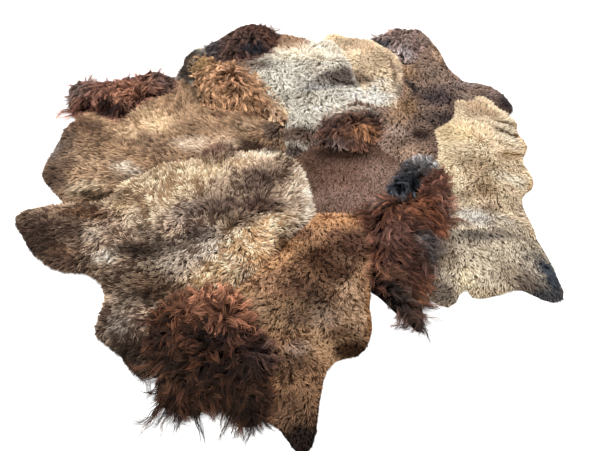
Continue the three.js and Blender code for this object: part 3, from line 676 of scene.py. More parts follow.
LEFT_TONES = [
    ("#d3b79b", "#4a352b"),
    (-1000, -330, 150, 100, -25, 0.8, "#5f483a", "#2a1e18"),
    (-970, -370, 130, 62, -38, 0.9, "#43322a", "#211813"),
    (-840, -320, 60, 90, 0, 0.9, "#523f35", "#241812"),
    (-840, -455, 70, 45, -20, 0.8, "#7f5c42", "#3c281b"),
    (-830, -245, 130, 32, -4, 0.9, "#7d5c43", "#38251a"),
    (-740, -345, 40, 45, 0, 0.6, "#c2b2a0", "#4d4038"),
    (-690, -450, 48, 40, 0, 0.9, "#f3eadb", "#857363"),
    (-545, -370, 60, 60, 0, 0.5, "#a08c78", "#3f3026"),
    (-640, -110, 130, 55, 20, 0.8, "#f2dcb8", "#7a5f42"),
    (-560, -270, 70, 60, 0, 0.7, "#efd9bb", "#6d5540"),
    (-640, -195, 70, 35, 10, 0.6, "#d9b887", "#4f3822"),
    (-615, -165, 30, 25, 0, 0.6, "#7a5c3e", "#38251a"),
    (-460, -10, 260, 46, 8, 0.85, "#c9b496", "#826a50"),
    (-450, -110, 110, 80, 0, 0.8, "#f3dfbb", "#86694c"),
    (-120, 66, 110, 24, 5, 0.9, "#f6ead2", "#b79c7c"),
    (-390, -240, 80, 60, 30, 0.7, "#a8978a", "#463832"),
    (98, -90, 36, 170, -5, 1.0, "#fff4e4", "#dcc3a6"),
    (20, -190, 50, 60, 0, 0.7, "#f0dac0", "#957b66"),
    (-120, -350, 150, 70, 38, 0.95, "#ffecca", "#ac8760"),
    (-85, -455, 60, 45, 0, 0.8, "#e3b98a", "#875c38"),
    (-260, -540, 90, 52, 15, 0.9, "#f6dfb9", "#98754f"),
    (-330, -400, 110, 60, 15, 0.7, "#f2e4d2", "#6d594c"),
    (-440, -500, 80, 50, 0, 0.6, "#c8baa9", "#3f322b"),
    (-460, -590, 150, 34, 0, 0.9, "#7a5c44", "#2b1d15"),
    (-600, -560, 90, 50, 0, 0.8, "#7d6a59", "#33261e"),
    (-490, -545, 80, 40, 0, 0.8, "#836a54", "#33241a"),
    (-535, -640, 65, 32, 0, 0.5, "#bfae9b", "#40342b"),
    (-560, -735, 60, 55, 0, 0.8, "#948a81", "#43372f"),
    (-640, -755, 35, 70, 0, 0.8, "#6d594b", "#3a2c24"),
    (-470, -850, 110, 70, -40, 0.95, "#4f4035", "#221813"),
    (-325, 105, 62, 50, 0, 1.0, "#7e6252", "#402e26"),
    (-110, -222, 125, 40, 8, 1.0, "#5f4a3e", "#261914"),
    (-270, -225, 110, 46, 0, 0.9, "#7a6458", "#2f221c"),
    (-550, -432, 110, 36, 0, 1.0, "#4d3e34", "#1f1712"),
    (-450, -408, 60, 28, 0, 0.7, "#6f6056", "#2a201a"),
    (-520, -180, 80, 40, 8, 0.8, "#f2ddbc", "#8f7255"),
    (-722, -505, 45, 28, 0, 0.9, "#715b49", "#2e2119"),
    (-10, -405, 50, 30, 30, 0.8, "#8f6544", "#3f2616"),
    (-240, -120, 80, 34, 0, 0.5, "#b39a84", "#5a4536"),
    (-115, -92, 70, 90, 0, 0.95, "#69544a", "#2a1e18"),
    (40, -60, 34, 60, 0, 0.9, "#f5e2cb", "#a58c75"),
    (-350, -48, 90, 36, 8, 0.8, "#f5e0c0", "#a68a68"),
    (-297, 40, 62, 24, 0, 0.8, "#7d6250", "#3c2b20"),
    (-85, 122, 70, 18, 0, 0.8, "#8a7562", "#44352b"),
    (-335, -348, 70, 32, 0, 0.9, "#6a5951", "#2c211c"),
    (-185, -288, 60, 26, 0, 0.85, "#77614f", "#30231b"),
    (-470, -632, 70, 36, 0, 0.95, "#48352a", "#1d130d"),
    (-845, -478, 70, 36, -20, 0.9, "#5f4a3e", "#281c16"),
    (-78, 112, 56, 34, 0, 0.95, "#5f5046", "#2b2019"),
    (-713, -145, 54, 28, 0, 0.85, "#7d6450", "#3a2a1e"),
    (-952, -95, 40, 30, 0, 0.8, "#5f4a3e", "#2c2019"),
    (-508, -216, 44, 26, 0, 0.85, "#f0dcc0", "#9a8064"),
    (-534, -648, 50, 26, 0, 0.8, "#8c7a6a", "#3c2f26"),
    (-560, -805, 60, 40, 0, 0.6, "#5a4a40", "#2a2019"),
    (-456, -381, 46, 26, 0, 0.85, "#5f5046", "#2a201a"),
    (-743, -465, 42, 28, 0, 0.85, "#6f5c4c", "#33271e"),
    (-199, 18, 56, 24, 0, 0.8, "#edd0b0", "#a08060"),
    (-24, -380, 44, 30, 30, 0.9, "#7a583c", "#382412"),
    (-222, -548, 44, 28, 0, 0.8, "#a98464", "#5f4430"),
    (-50, -452, 40, 26, 30, 0.85, "#a87c5a", "#5c3f2a"),
    (-551, -345, 60, 40, 0, 0.7, "#7a685a", "#33271f"),
    (-640, -185, 50, 30, 0, 0.8, "#8f735a", "#3f3024"),
    (-88, -388, 44, 36, 0, 0.9, "#ffdab4", "#b08862"),
]
LEFT_FLOWS = [
    (-1080, -270, 185),
    (-950, -420, 220),
    (-800, -250, 190),
    (-720, -420, 225),
    (-600, -60, 135),
    (-450, -150, 125),
    (-300, 110, 100),
    (-100, 80, 85),
    (-250, -180, 110),
    (-450, -350, 235),
    (-600, -650, 215),
    (-520, -850, 240),
    (90, -100, 5),
    (-80, -380, 315),
    (-260, -540, 250),
]
curly_wool = wool_material("curly_wool", sheen=0.02, shine=0.25, gloss=0.05, softness=0.55)
hide(
    "left_hide", "mottled_fleece", LEFT_TONES, LEFT_FLOWS, curly_wool, 11,
    gap=4.5, long=35, wide=4.1, curl=0.9, fleck=0.42, cell=14,
)


# The front skin: a tanned sheepskin with a warm brown fleece of tight curls with orange tips, and a
# narrow dark leg that points to the front. It is sewn to the left skin and the middle one from behind.
FRONT_TONES = [
    ("#aa8060", "#382318"),
    (210, -285, 130, 38, 0, 0.9, "#dca87c", "#80512f"),
    (150, -370, 45, 60, 0, 0.7, "#dcae84", "#83583a"),
    (-40, -460, 130, 60, 38, 0.9, "#dcaa7c", "#70492c"),
    (-60, -560, 80, 40, 20, 0.8, "#c09676", "#5f422e"),
    (20, -405, 45, 22, 0, 0.6, "#7a5234", "#2e1c10"),
    (275, -410, 100, 80, 0, 0.95, "#664839", "#281914"),
    (310, -480, 80, 28, 0, 0.8, "#523729", "#20130e"),
    (185, -450, 100, 60, 0, 0.95, "#4e3122", "#1a0e08"),
    # Painted shadow of a lobe of the skin.
    (235, -778, 64, 32, 0, 0.9, "#61452f", "#281910"),
    (80, -600, 80, 70, 0, 0.8, "#65493a", "#261a12"),
    (130, -645, 55, 60, 0, 0.8, "#594536", "#221811"),
    (255, -620, 48, 140, 12, 0.95, "#c19f81", "#583f2b"),
    (320, -520, 32, 50, 0, 0.8, "#c99f7a", "#6e4e36"),
    (318, -700, 18, 90, 0, 0.8, "#a87648", "#5e3e24"),
    (170, -720, 60, 55, 0, 0.7, "#9c8674", "#4c3b2f"),
    (150, -800, 90, 50, 0, 0.8, "#c9a680", "#7a593c"),
    (190, -870, 50, 40, 0, 0.8, "#c09c76", "#75543a"),
    (30, -700, 70, 60, 0, 0.6, "#b59673", "#4f3b28"),
    (30, -840, 60, 28, 0, 0.6, "#a98a6e", "#362518"),
    (60, -950, 90, 60, 0, 0.6, "#8f6f54", "#46301f"),
    (-22, -1000, 28, 70, 0, 0.8, "#7d5539", "#462c1c"),
    (60, -1050, 80, 50, 0, 0.6, "#65503f", "#2d2017"),
    (72, -1110, 70, 48, 0, 1.0, "#352822", "#130d0a"),
    (-150, -600, 70, 28, 0, 0.6, "#b48f69", "#52391f"),
    (-80, -680, 55, 60, 0, 0.6, "#a98c70", "#4f3c2c"),
    # Painted shadow of a lobe of the skin.
    (245, -822, 70, 34, 0, 1.0, "#402919", "#150c07"),
    (-13, -410, 50, 26, 30, 0.8, "#8a6040", "#3c2414"),
    (250, -712, 40, 20, 0, 0.8, "#c8a384", "#6f5238"),
    (210, -515, 70, 46, 0, 0.95, "#5a3d2d", "#20130c"),
    (259, -705, 40, 28, 0, 0.9, "#dcb898", "#8a6a4e"),
    (28, -872, 64, 48, 0, 0.85, "#5f4636", "#2a1c13"),
    (66, -705, 50, 40, 0, 0.8, "#685040", "#2e2017"),
    (194, -347, 44, 26, 0, 0.8, "#7f5a46", "#38231a"),
    (70, -345, 44, 30, 0, 0.85, "#7d5842", "#372216"),
    (40, -994, 44, 34, 0, 0.8, "#604636", "#2a1b12"),
    (60, -815, 44, 26, 0, 0.8, "#b89a86", "#57443a"),
    (192, -765, 40, 26, 0, 0.85, "#604431", "#2a1a10"),
]
FRONT_FLOWS = [
    (120, -300, 250),
    (300, -350, 290),
    (-50, -560, 220),
    (150, -600, 265),
    (280, -700, 300),
    (60, -850, 260),
    (80, -1080, 270),
]
hide(
    "front_hide", "brown_fleece", FRONT_TONES, FRONT_FLOWS, curly_wool, 12,
    gap=4.3, long=25, wide=3.9, curl=1.0, tuft=0.3, fleck=0.27, cell=13,
)


# The skin at the back left: a tanned sheepskin with smoother sandy wool that lies flat, greyer towards
# its left edge. It is sewn from behind, and the wool of the left skin falls over its near edge.
BACK_LEFT_TONES = [
    ("#ad8b6c", "#5f4836"),
    (-1020, 80, 80, 200, 0, 0.95, "#755f4f", "#40322a"),
    (-1045, 110, 24, 50, 0, 0.6, "#8f8882", "#544a44"),
    (-945, 265, 130, 46, -25, 0.95, "#745743", "#3f2b20"),
    (-860, 180, 60, 40, 0, 0.7, "#8c7058", "#4c3a2c"),
    (-690, 330, 170, 50, -25, 0.8, "#d0b391", "#84684a"),
    (-600, 270, 60, 80, 0, 0.6, "#e6c9a2", "#98795a"),
    (-545, 565, 48, 48, 0, 0.9, "#a48367", "#6a4f3a"),
    # Dark streaks, partly painted shadow of the golden mane.
    (-450, 490, 32, 90, 25, 0.9, "#5d4a38", "#30251c"),
    (-440, 335, 140, 40, 0, 0.6, "#b8987a", "#7a5e46"),
    (-420, 250, 100, 34, 0, 0.7, "#8f745c", "#554131"),
    (-415, 150, 80, 40, 0, 0.95, "#fbe4cb", "#b8997c"),
    (-270, 205, 60, 30, 0, 0.6, "#cba98a", "#7a5d47"),
    (-180, 260, 60, 45, 0, 0.6, "#8d7865", "#52412f"),
    (-150, 150, 100, 40, 0, 1.0, "#503a2d", "#22160f"),
    (-55, 250, 38, 60, 0, 0.9, "#5a4a42", "#2c221e"),
    (-880, 30, 110, 60, -20, 0.6, "#cfaf90", "#836850"),
    (-600, 130, 130, 60, -35, 0.8, "#8a715b", "#463427"),
    (-1005, -60, 55, 60, 0, 0.9, "#5f4b3c", "#33261e"),
    (-850, -105, 84, 46, 0, 0.7, "#d6c1a4", "#836d55"),
    # A dark brown band: painted shadow.
    (-780, -145, 110, 30, -5, 0.95, "#56432f", "#2a1f17"),
    (-690, -10, 70, 36, -25, 0.8, "#cdc1af", "#75665a"),
    (-760, 60, 60, 36, -25, 0.7, "#a5896c", "#5e4836"),
    (-520, 615, 44, 44, 0, 0.9, "#6f5b4a", "#392b21"),
    (-90, 120, 90, 26, 0, 0.9, "#5a4638", "#271b14"),
    (-740, 220, 60, 36, -25, 0.8, "#dcbe9a", "#8a6c50"),
    # Painted shade under the golden mane.
    (-150, 345, 70, 30, 0, 0.95, "#6a4c3a", "#2f1d13"),
    (-517, 629, 36, 32, 0, 0.9, "#68543f", "#35271d"),
    (-289, 170, 44, 26, 0, 0.9, "#dcba9c", "#9a7a60"),
    (-700, -49, 48, 28, 0, 0.8, "#8a7460", "#4c3c2f"),
    (-957, 33, 44, 32, 0, 0.85, "#6a5244", "#382820"),
    (-650, 330, 90, 32, -25, 0.75, "#bfa27f", "#7c6145"),
    (-260, 158, 50, 30, 0, 0.9, "#e4c6a8", "#a08468"),
    (-776, 328, 50, 24, 0, 0.9, "#6a4c3c", "#33221a"),
    (-955, -85, 44, 34, 0, 0.95, "#5f4a3e", "#2c2019"),
    (-902, 262, 60, 30, -20, 0.85, "#5f4a3b", "#30231b"),
    (-303, 253, 50, 30, 0, 0.6, "#94755e", "#5a4534"),
    (-307, 342, 50, 30, 0, 0.9, "#6f5340", "#3c2a1e"),
]
BACK_LEFT_FLOWS = [
    (-1060, 150, 178),
    (-1030, -60, 200),
    (-930, 240, 155),
    (-850, -120, 220),
    (-850, 60, 165),
    (-700, 330, 130),
    (-560, 560, 95),
    (-600, 150, 145),
    (-450, 320, 140),
    (-400, 150, 160),
    (-180, 250, 130),
    (-100, 160, 250),
]
smooth_wool = wool_material("smooth_wool", sheen=0.03, shine=0.25, gloss=0.06, softness=0.6)
hide(
    "back_left_hide", "sandy_fleece", BACK_LEFT_TONES, BACK_LEFT_FLOWS, smooth_wool, 13,
    long=38, lean=67, curl=0.4, fleck=0.3,
)


# The cream skin at the back: a large tanned sheepskin with pale wool flecked with grey, beige along its
# far edge. It is sewn from behind to the skins at both sides of it.
CREAM_TONES = [
    ("#eee7d7", "#a09482"),
    (100, 850, 150, 65, 0, 0.8, "#eadfc8", "#c0ac8e"),
    (0, 975, 140, 66, -12, 1.0, "#8f6f58", "#5d4332"),
    (-25, 925, 65, 50, 0, 0.8, "#b09072", "#765a44"),
    (262, 880, 115, 24, -55, 1.0, "#d6ccb8", "#a8967c"),
    (-520, 745, 66, 190, 0, 1.0, "#463a31", "#211b18"),
    (-400, 830, 100, 60, 0, 1.0, "#3a3432", "#181616"),
    # Painted shadow next to the top mane.
    (-230, 790, 60, 28, 0, 0.8, "#a08872", "#54443a"),
    (-130, 640, 36, 90, 25, 0.6, "#d5cdbb", "#787268"),
    (200, 730, 90, 40, 0, 0.6, "#e0d3be", "#8d7d6a"),
    (50, 465, 140, 80, 0, 0.9, "#ccc5b7", "#867b6a"),
    (360, 510, 110, 36, 5, 0.8, "#fbf5ea", "#a39788"),
    (300, 470, 60, 22, 0, 0.5, "#c9beb0", "#695d53"),
    (70, 330, 80, 32, 0, 0.6, "#e6ddcc", "#8a7d6d"),
    (55, 230, 110, 60, 0, 1.0, "#705c4f", "#352822"),
    (130, 195, 60, 55, 0, 0.9, "#6a5348", "#2e2019"),
    (45, 115, 60, 46, 0, 0.95, "#4c3b33", "#1d1511"),
    (-170, 765, 100, 40, 0, 0.95, "#77665a", "#392e28"),
    (-95, 840, 60, 36, 0, 0.8, "#96826f", "#4d3f35"),
    (285, 612, 90, 36, -4, 1.0, "#5d4f49", "#241c1a"),
    (300, 690, 34, 70, 0, 0.9, "#75665d", "#332926"),
    (160, 572, 80, 26, 8, 0.8, "#a5a29c", "#57565a"),
    (90, 655, 60, 24, 10, 0.5, "#f2eadb", "#a99e8c"),
    (228, 668, 56, 36, 0, 0.95, "#7d6f66", "#382e2a"),
    (172, 612, 56, 26, 0, 0.8, "#928a82", "#4c4643"),
    (25, 900, 75, 30, 0, 0.85, "#c0a58a", "#876c56"),
    (278, 678, 62, 42, 0, 0.95, "#5c5049", "#27201d"),
    (-10, 950, 90, 44, 0, 0.85, "#937862", "#614a38"),
    (189, 405, 60, 26, 0, 0.9, "#fff9ee", "#b8ab9b"),
]
CREAM_FLOWS = [
    (-520, 850, 150),
    (-100, 950, 110),
    (200, 950, 70),
    (100, 700, 250),
    (-100, 600, 250),
    (300, 500, 290),
    (60, 200, 260),
]
hide(
    "cream_hide", "cream_fleece", CREAM_TONES, CREAM_FLOWS, smooth_wool, 14, painted_depth_shade=0.75,
    long=36, curl=0.6, fleck=0.2, root_shade=0.6,
)


# The beige skin: a small tanned skin with short sandy wool and a fold near its right edge, sewn from
# behind between the cream skin and the dark one.
BEIGE_TONES = [
    ("#ecd3b1", "#b39475"),
    (280, 1025, 70, 30, 0, 0.6, "#e9cca4", "#b08e68"),
    (470, 620, 65, 35, 0, 0.6, "#ece1d2", "#a09282"),
    (455, 570, 22, 22, 0, 0.7, "#bfc0c0", "#64666a"),
    (440, 500, 100, 60, 0, 0.95, "#fffdf5", "#dccfbb"),
    # A dark line along the fold: painted shade in its crease.
    (560, 710, 13, 110, 0, 0.95, "#836a54", "#453427"),
    (590, 800, 26, 80, 0, 0.5, "#ecd1b0", "#b39475"),
    (578, 560, 26, 65, 0, 0.85, "#9c8d7e", "#50443b"),
    # Painted shadow along its lower edge, by the small mane in the middle.
    (500, 425, 45, 16, 0, 0.8, "#75594a", "#33241d"),
    (390, 640, 66, 34, 0, 0.95, "#86705f", "#4f3d30"),
    (350, 960, 80, 36, 0, 0.85, "#c2ab8d", "#8d7359"),
    (372, 690, 34, 26, 0, 0.7, "#8f7766", "#574538"),
    (417, 908, 70, 40, 0, 0.8, "#c9ae90", "#93775c"),
    (585, 722, 26, 40, 0, 0.6, "#a48f7c", "#6d5b4b"),
]
BEIGE_FLOWS = [(350, 950, 80), (480, 750, 260), (450, 500, 270), (590, 750, 350)]
hide(
    "beige_hide", "beige_fleece", BEIGE_TONES, BEIGE_FLOWS, smooth_wool, 15, painted_depth_shade=0.75,
    long=26, wide=4.4, curl=0.9, tuft=0.2, fleck=0.14, root_shade=0.65,
)


# The golden skin at the right: a tanned skin with short sandy wool and brown specks, its right edge
# rippled where the skin has dried. Its left edge is sewn down from behind.
SANDY_TONES = [
    ("#e4ceb0", "#ac9170"),
    (820, 230, 100, 65, 0, 0.6, "#f0d5a8", "#b8945f"),
    (950, 415, 60, 46, 0, 0.8, "#bfa183", "#6f553d"),
    (1060, 250, 60, 90, 0, 0.6, "#f2e6ce", "#a5937a"),
    # Thin dark lines across its right edge: painted shade in the ripples of the dried skin.
    (1055, 232, 75, 11, -34, 1.0, "#6a5640", "#38291d"),
    (1065, 295, 60, 10, -26, 1.0, "#75604a", "#403022"),
    (1045, 97, 60, 10, 0, 1.0, "#6f5a43", "#3c2c1f"),
    (1010, 160, 60, 8, -20, 0.8, "#8a735a", "#503e2d"),
    (1080, 20, 40, 9, -30, 0.8, "#8a735a", "#503e2d"),
    (860, 60, 95, 38, 0, 0.75, "#bda584", "#6f5a46"),
    (920, -5, 80, 50, 0, 0.6, "#c5a57c", "#70543a"),
    (1030, 85, 55, 26, 0, 0.6, "#caa87e", "#83653f"),
    (1000, -50, 80, 34, -30, 0.8, "#f9eed5", "#b8a488"),
    (875, -110, 55, 48, 0, 0.85, "#a08260", "#523c29"),
    (745, 60, 36, 150, 0, 0.7, "#f7e2bd", "#c0a076"),
    (742, -175, 36, 70, 0, 0.9, "#f3e2c2", "#b49c7b"),
    (960, -175, 60, 34, -50, 0.7, "#c0ab8b", "#453829"),
    (1085, -95, 26, 38, 0, 0.7, "#d8b27e", "#a07a4c"),
    (790, -250, 80, 40, 0, 0.9, "#fcf8ee", "#bcae9a"),
    (850, -275, 55, 36, 0, 0.6, "#e0d8ca", "#6d6258"),
    (940, -288, 75, 20, -40, 0.9, "#cfc3b1", "#93836f"),
    (1000, -255, 36, 60, 0, 0.6, "#c8b69c", "#64554a"),
    (1115, 200, 16, 150, 0, 0.8, "#d6b488", "#9a7a54"),
    (1005, 365, 50, 30, -30, 0.8, "#a88c70", "#6a543e"),
    (872, -200, 50, 34, 0, 0.8, "#a08a74", "#5a4636"),
    (783, -134, 44, 28, 0, 0.9, "#a08a70", "#6a5640"),
    (725, -275, 40, 30, 0, 0.9, "#fff4dc", "#c8b496"),
]
SANDY_FLOWS = [
    (900, 400, 100),
    (1080, 200, 20),
    (780, 100, 190),
    (900, 0, 260),
    (850, -220, 270),
    (1000, -280, 300),
]
hide(
    "sandy_hide", "golden_fleece", SANDY_TONES, SANDY_FLOWS, smooth_wool, 16, painted_depth_shade=0.75,
    long=24, wide=4.4, lean=66, curl=0.8, tuft=0.15, fleck=0.12, root_shade=0.65,
)


# The dark skin at the back right: a tanned sheepskin with brown wool and near black patches, and a dark
# leg that reaches to the right. It is sewn from behind, and the beige and golden wool falls over it.
BROWN_TONES = [
    ("#a08473", "#4e3d35"),
    (640, 710, 75, 55, -30, 0.9, "#bf9c7b", "#7a5c44"),
    # A near black line: painted shade in a fold of the skin.
    (652, 575, 22, 55, 10, 1.0, "#37302f", "#171515"),
    (620, 560, 20, 60, 0, 0.7, "#a98a70", "#6b5140"),
    # Painted shade at the end of the fold.
    (700, 560, 30, 20, 0, 0.6, "#5a4e4a", "#262221"),
    (775, 500, 80, 75, 0, 0.95, "#625454", "#292225"),
    (845, 575, 80, 30, 0, 0.85, "#84716b", "#3a2f2d"),
    (740, 340, 65, 48, 0, 0.9, "#6a5a54", "#2a2321"),
    (795, 360, 36, 36, 0, 0.8, "#4a3e3e", "#1a1617"),
    (600, 420, 60, 70, 0, 0.9, "#b5926e", "#6a4d37"),
    (550, 345, 60, 55, 0, 0.8, "#bc997c", "#735644"),
    (655, 228, 46, 34, 0, 1.0, "#483832", "#1e1715"),
    (540, 250, 60, 45, 0, 0.8, "#c0a594", "#6f5c52"),
    (478, 220, 28, 90, 0, 0.8, "#c0a08f", "#6f5c4d"),
    (590, 120, 80, 45, 0, 0.8, "#cba88d", "#4c3a2e"),
    (702, 130, 20, 100, 0, 0.7, "#8f7363", "#4c3b32"),
    (800, 700, 85, 70, 0, 0.8, "#b49a88", "#6a564a"),
    (842, 880, 26, 110, 0, 0.9, "#c4a68c", "#7d624c"),
    (760, 1070, 40, 36, 0, 0.85, "#64514b", "#2c2424"),
    (785, 950, 28, 60, 0, 0.6, "#96827a", "#3f322f"),
    (950, 600, 70, 30, -15, 0.9, "#b5a196", "#66544c"),
    (1000, 625, 80, 18, -10, 0.6, "#a38f84", "#54443c"),
    (1105, 455, 45, 75, 10, 1.0, "#453a3c", "#1a1517"),
    (1020, 500, 55, 36, 0, 0.7, "#94807a", "#50403c"),
    (905, 500, 36, 28, 0, 0.7, "#c8b2a2", "#7a6658"),
]
BROWN_FLOWS = [
    (760, 1050, 80),
    (800, 850, 200),
    (750, 600, 240),
    (1080, 480, 340),
    (600, 300, 250),
    (520, 120, 235),
]
hide(
    "brown_hide", "dark_fleece", BROWN_TONES, BROWN_FLOWS, curly_wool, 17,
    long=30, wide=4.4, curl=0.7, tuft=0.25, fleck=0.2,
)


# The grey skin at the front right: a tanned skin with cream wool between a dark grey band, where it is
# sewn to the golden one, and a charcoal leg.
GREY_TONES = [
    ("#d8c8b0", "#7c6c59"),
    (640, -370, 60, 65, 0, 0.9, "#988a7a", "#4e4238"),
    (800, -345, 130, 28, 0, 0.95, "#7f7469", "#39322c"),
    (940, -340, 70, 22, -30, 0.6, "#c5b398", "#7a6a58"),
    (790, -450, 80, 55, 0, 0.6, "#cfc2a8", "#83735d"),
    (640, -450, 56, 60, 0, 0.85, "#8f7d69", "#44382d"),
    (700, -560, 36, 60, 0, 0.8, "#efdeba", "#a58e6a"),
    (600, -600, 58, 58, 0, 0.95, "#6f6156", "#382d26"),
    (800, -605, 110, 22, 0, 0.7, "#c0a888", "#75604a"),
    (880, -520, 55, 55, 0, 0.5, "#a8957a", "#6a5844"),
    (960, -480, 48, 60, 0, 0.75, "#a3988a", "#544a44"),
    (950, -580, 45, 45, 0, 0.85, "#867b70", "#403734"),
    (1022, -540, 36, 105, 10, 1.0, "#42464d", "#1c1f24"),
    (985, -620, 72, 32, 0, 0.95, "#4c4c4f", "#232327"),
    (915, -555, 45, 50, 0, 0.85, "#75665a", "#352b25"),
    (905, -338, 60, 20, -20, 0.8, "#8f8272", "#4a4038"),
]
GREY_FLOWS = [(700, -350, 260), (600, -560, 240), (800, -500, 270), (1030, -560, 290)]
hide(
    "grey_hide", "grey_fleece", GREY_TONES, GREY_FLOWS, smooth_wool, 18, painted_depth_shade=0.7,
    long=26, wide=4.4, lean=66, curl=0.7, tuft=0.2, fleck=0.2, root_shade=0.6,
)


# The skin in the middle: short velvety taupe wool, sheared to a centimetre, on a tanned skin that is
# sewn in from behind and lies lowest, between its neighbours.
CENTRE_TONES = [
    ("#7f6254", "#4f392f"),
    (430, -30, 80, 85, 0, 0.85, "#9a7f72", "#665046"),
    (260, 118, 150, 50, 0, 1.0, "#3f2b22", "#1a110c"),
    (120, 30, 55, 60, 0, 0.8, "#664c3e", "#36261e"),
    (250, -160, 120, 60, 0, 0.8, "#a88a7d", "#6a5146"),
    (500, 20, 60, 36, 0, 0.6, "#967c6c", "#5a463c"),
]
CENTRE_FLOWS = [(100, 0, 250), (300, -100, 265), (550, 0, 280)]
velvet_wool = wool_material("velvet_wool", sheen=0.06, shine=0.15, gloss=0.04, softness=0.7)
hide(
    "centre_hide", "short_fleece", CENTRE_TONES, CENTRE_FLOWS, velvet_wool, 19,
    gap=4.2, long=17, wide=3.8, lean=70, curl=0.5, tuft=0.15, fleck=0.24, cell=12,
)


# The mane at the front: long glossy red-brown neck wool in loose curls over a thick mound. It falls
# over the two skins behind it, and its rim ends in long wisps that lie on the floor.
MAP_STEP = 8
MAP_HALF = 1400
MOUND_SHOULDER = 80
MOUND_LUMPS = 64
MOUNDS = {
    "front_mane": 44,
    "left_mane": 32,
    "golden_mane": 34,
    "top_mane": 32,
    "centre_mane": 28,
    "dark_mane": 26,
    "shoulder_mane": 36,
    "back_mane": 22,
}


def mound_at(node, xy):
    """The height of a mane's mound over each place, 0 outside it."""
    depth, _ = edge_of(OUTLINES[node], xy)
    lumps = 0.78 + 0.44 * grain(xy, MOUND_LUMPS, 9)
    dome = 1 - (1 - np.clip(depth / MOUND_SHOULDER, 0, 1)) ** 2
    return np.where(depth > 0, MOUNDS[node] * lumps * dome, 0)


def ground_map():
    """The height of the hides' wool and of the mounds over a square grid of places."""
    line = np.arange(-MAP_HALF, MAP_HALF + 1, MAP_STEP)
    places = np.stack(np.meshgrid(line, line), axis=-1).reshape(-1, 2).astype(float)
    heights = np.zeros(len(places))
    for node in LAYERS:
        loop = OUTLINES[node]
        near = ((places > loop.min(axis=0) - 1) & (places < loop.max(axis=0) + 1)).all(axis=1)
        top = mound_at(node, places[near]) if node in MANES else height_on(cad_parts[node])(places[near])
        heights[near] = np.maximum(heights[near], top)
    return heights.reshape(len(line), len(line))


GROUND = ground_map()
LAST_CELL = len(GROUND) - 1.001


def ground(xy):
    """The height of the wool under each place."""
    spot = np.clip((xy + MAP_HALF) / MAP_STEP, 0, LAST_CELL)
    cell = spot.astype(int)
    t = spot - cell
    column, row = cell[:, 0], cell[:, 1]
    low = GROUND[row, column] * (1 - t[:, 0]) + GROUND[row, column + 1] * t[:, 0]
    high = GROUND[row + 1, column] * (1 - t[:, 0]) + GROUND[row + 1, column + 1] * t[:, 0]
    return low * (1 - t[:, 1]) + high * t[:, 1]


MOUND_INSET = 0.5
MOUND_SUNK = 3
MOUND_LEAST = 5
# The mound's colour is its root colour darkened: painted shade under the strands.
MOUND_PAINTED_SHADE = 0.3


def mound_piece(node, tones):
    """A mane's skin and underwool, in the place of its CAD solid."""
    mound = base_piece(
        node + "_mound",
        inset(OUTLINES[node], MOUND_INSET),
        lambda xy: np.maximum(mound_at(node, xy) - MOUND_SUNK, MOUND_LEAST),
        lambda xy: tone_at(xy, tones)[1] * MOUND_PAINTED_SHADE,
    )
    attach(mound, "root")
    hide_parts(node)
    return mound


CLUMP_STEP = 15
CLUMP_RIM = 30
CLUMP_PAST_EDGE = 20
CLUMP_LENGTHS = (0.6, 1.25)
CLUMP_TURNS = (0.1, 1.9)
CLUMP_WAVES = (0.25, 0.8)
CLUMP_LIFTS = (3, 20)
CLUMP_THICK = 7
STRANDS = 9
STRAND_SPREAD = 0.36 * CLUMP_STEP
STRAND_STRAY = 5
STRAND_REACH = (0.7, 1.1)
STRAND_WIDTH = 2.8
STRAND_WIDTHS = (0.6, 1.3)
STRAND_THICK = 6
STRAND_ROLL = 0.6
STRAND_STEPS = 6
STRAND_SUNK = 4
STRAND_LOW = 2.2
RIM_SHORT, SEAM_SHORT, WISP_LONG = 0.8, 0.6, 1.1
WAVES = 8.5
DRIFT = 2.4
DRIFT_SIZE = 90
SIDE_SIZE = 60
TALLEST = 79
# How much the strands' roots are darkened: painted shade deep in the mane.
STRAND_ROOT_PAINTED_SHADE = 0.55
# Bounds of a strand's brightness: its random tone times its painted light and shade.
LEAST_TONE_AND_LIGHT, MOST_TONE_AND_LIGHT = 0.3, 1.8
glossy_wool = wool_material("glossy_wool", sheen=0.01, shine=0.45, gloss=0.08, softness=0.2)


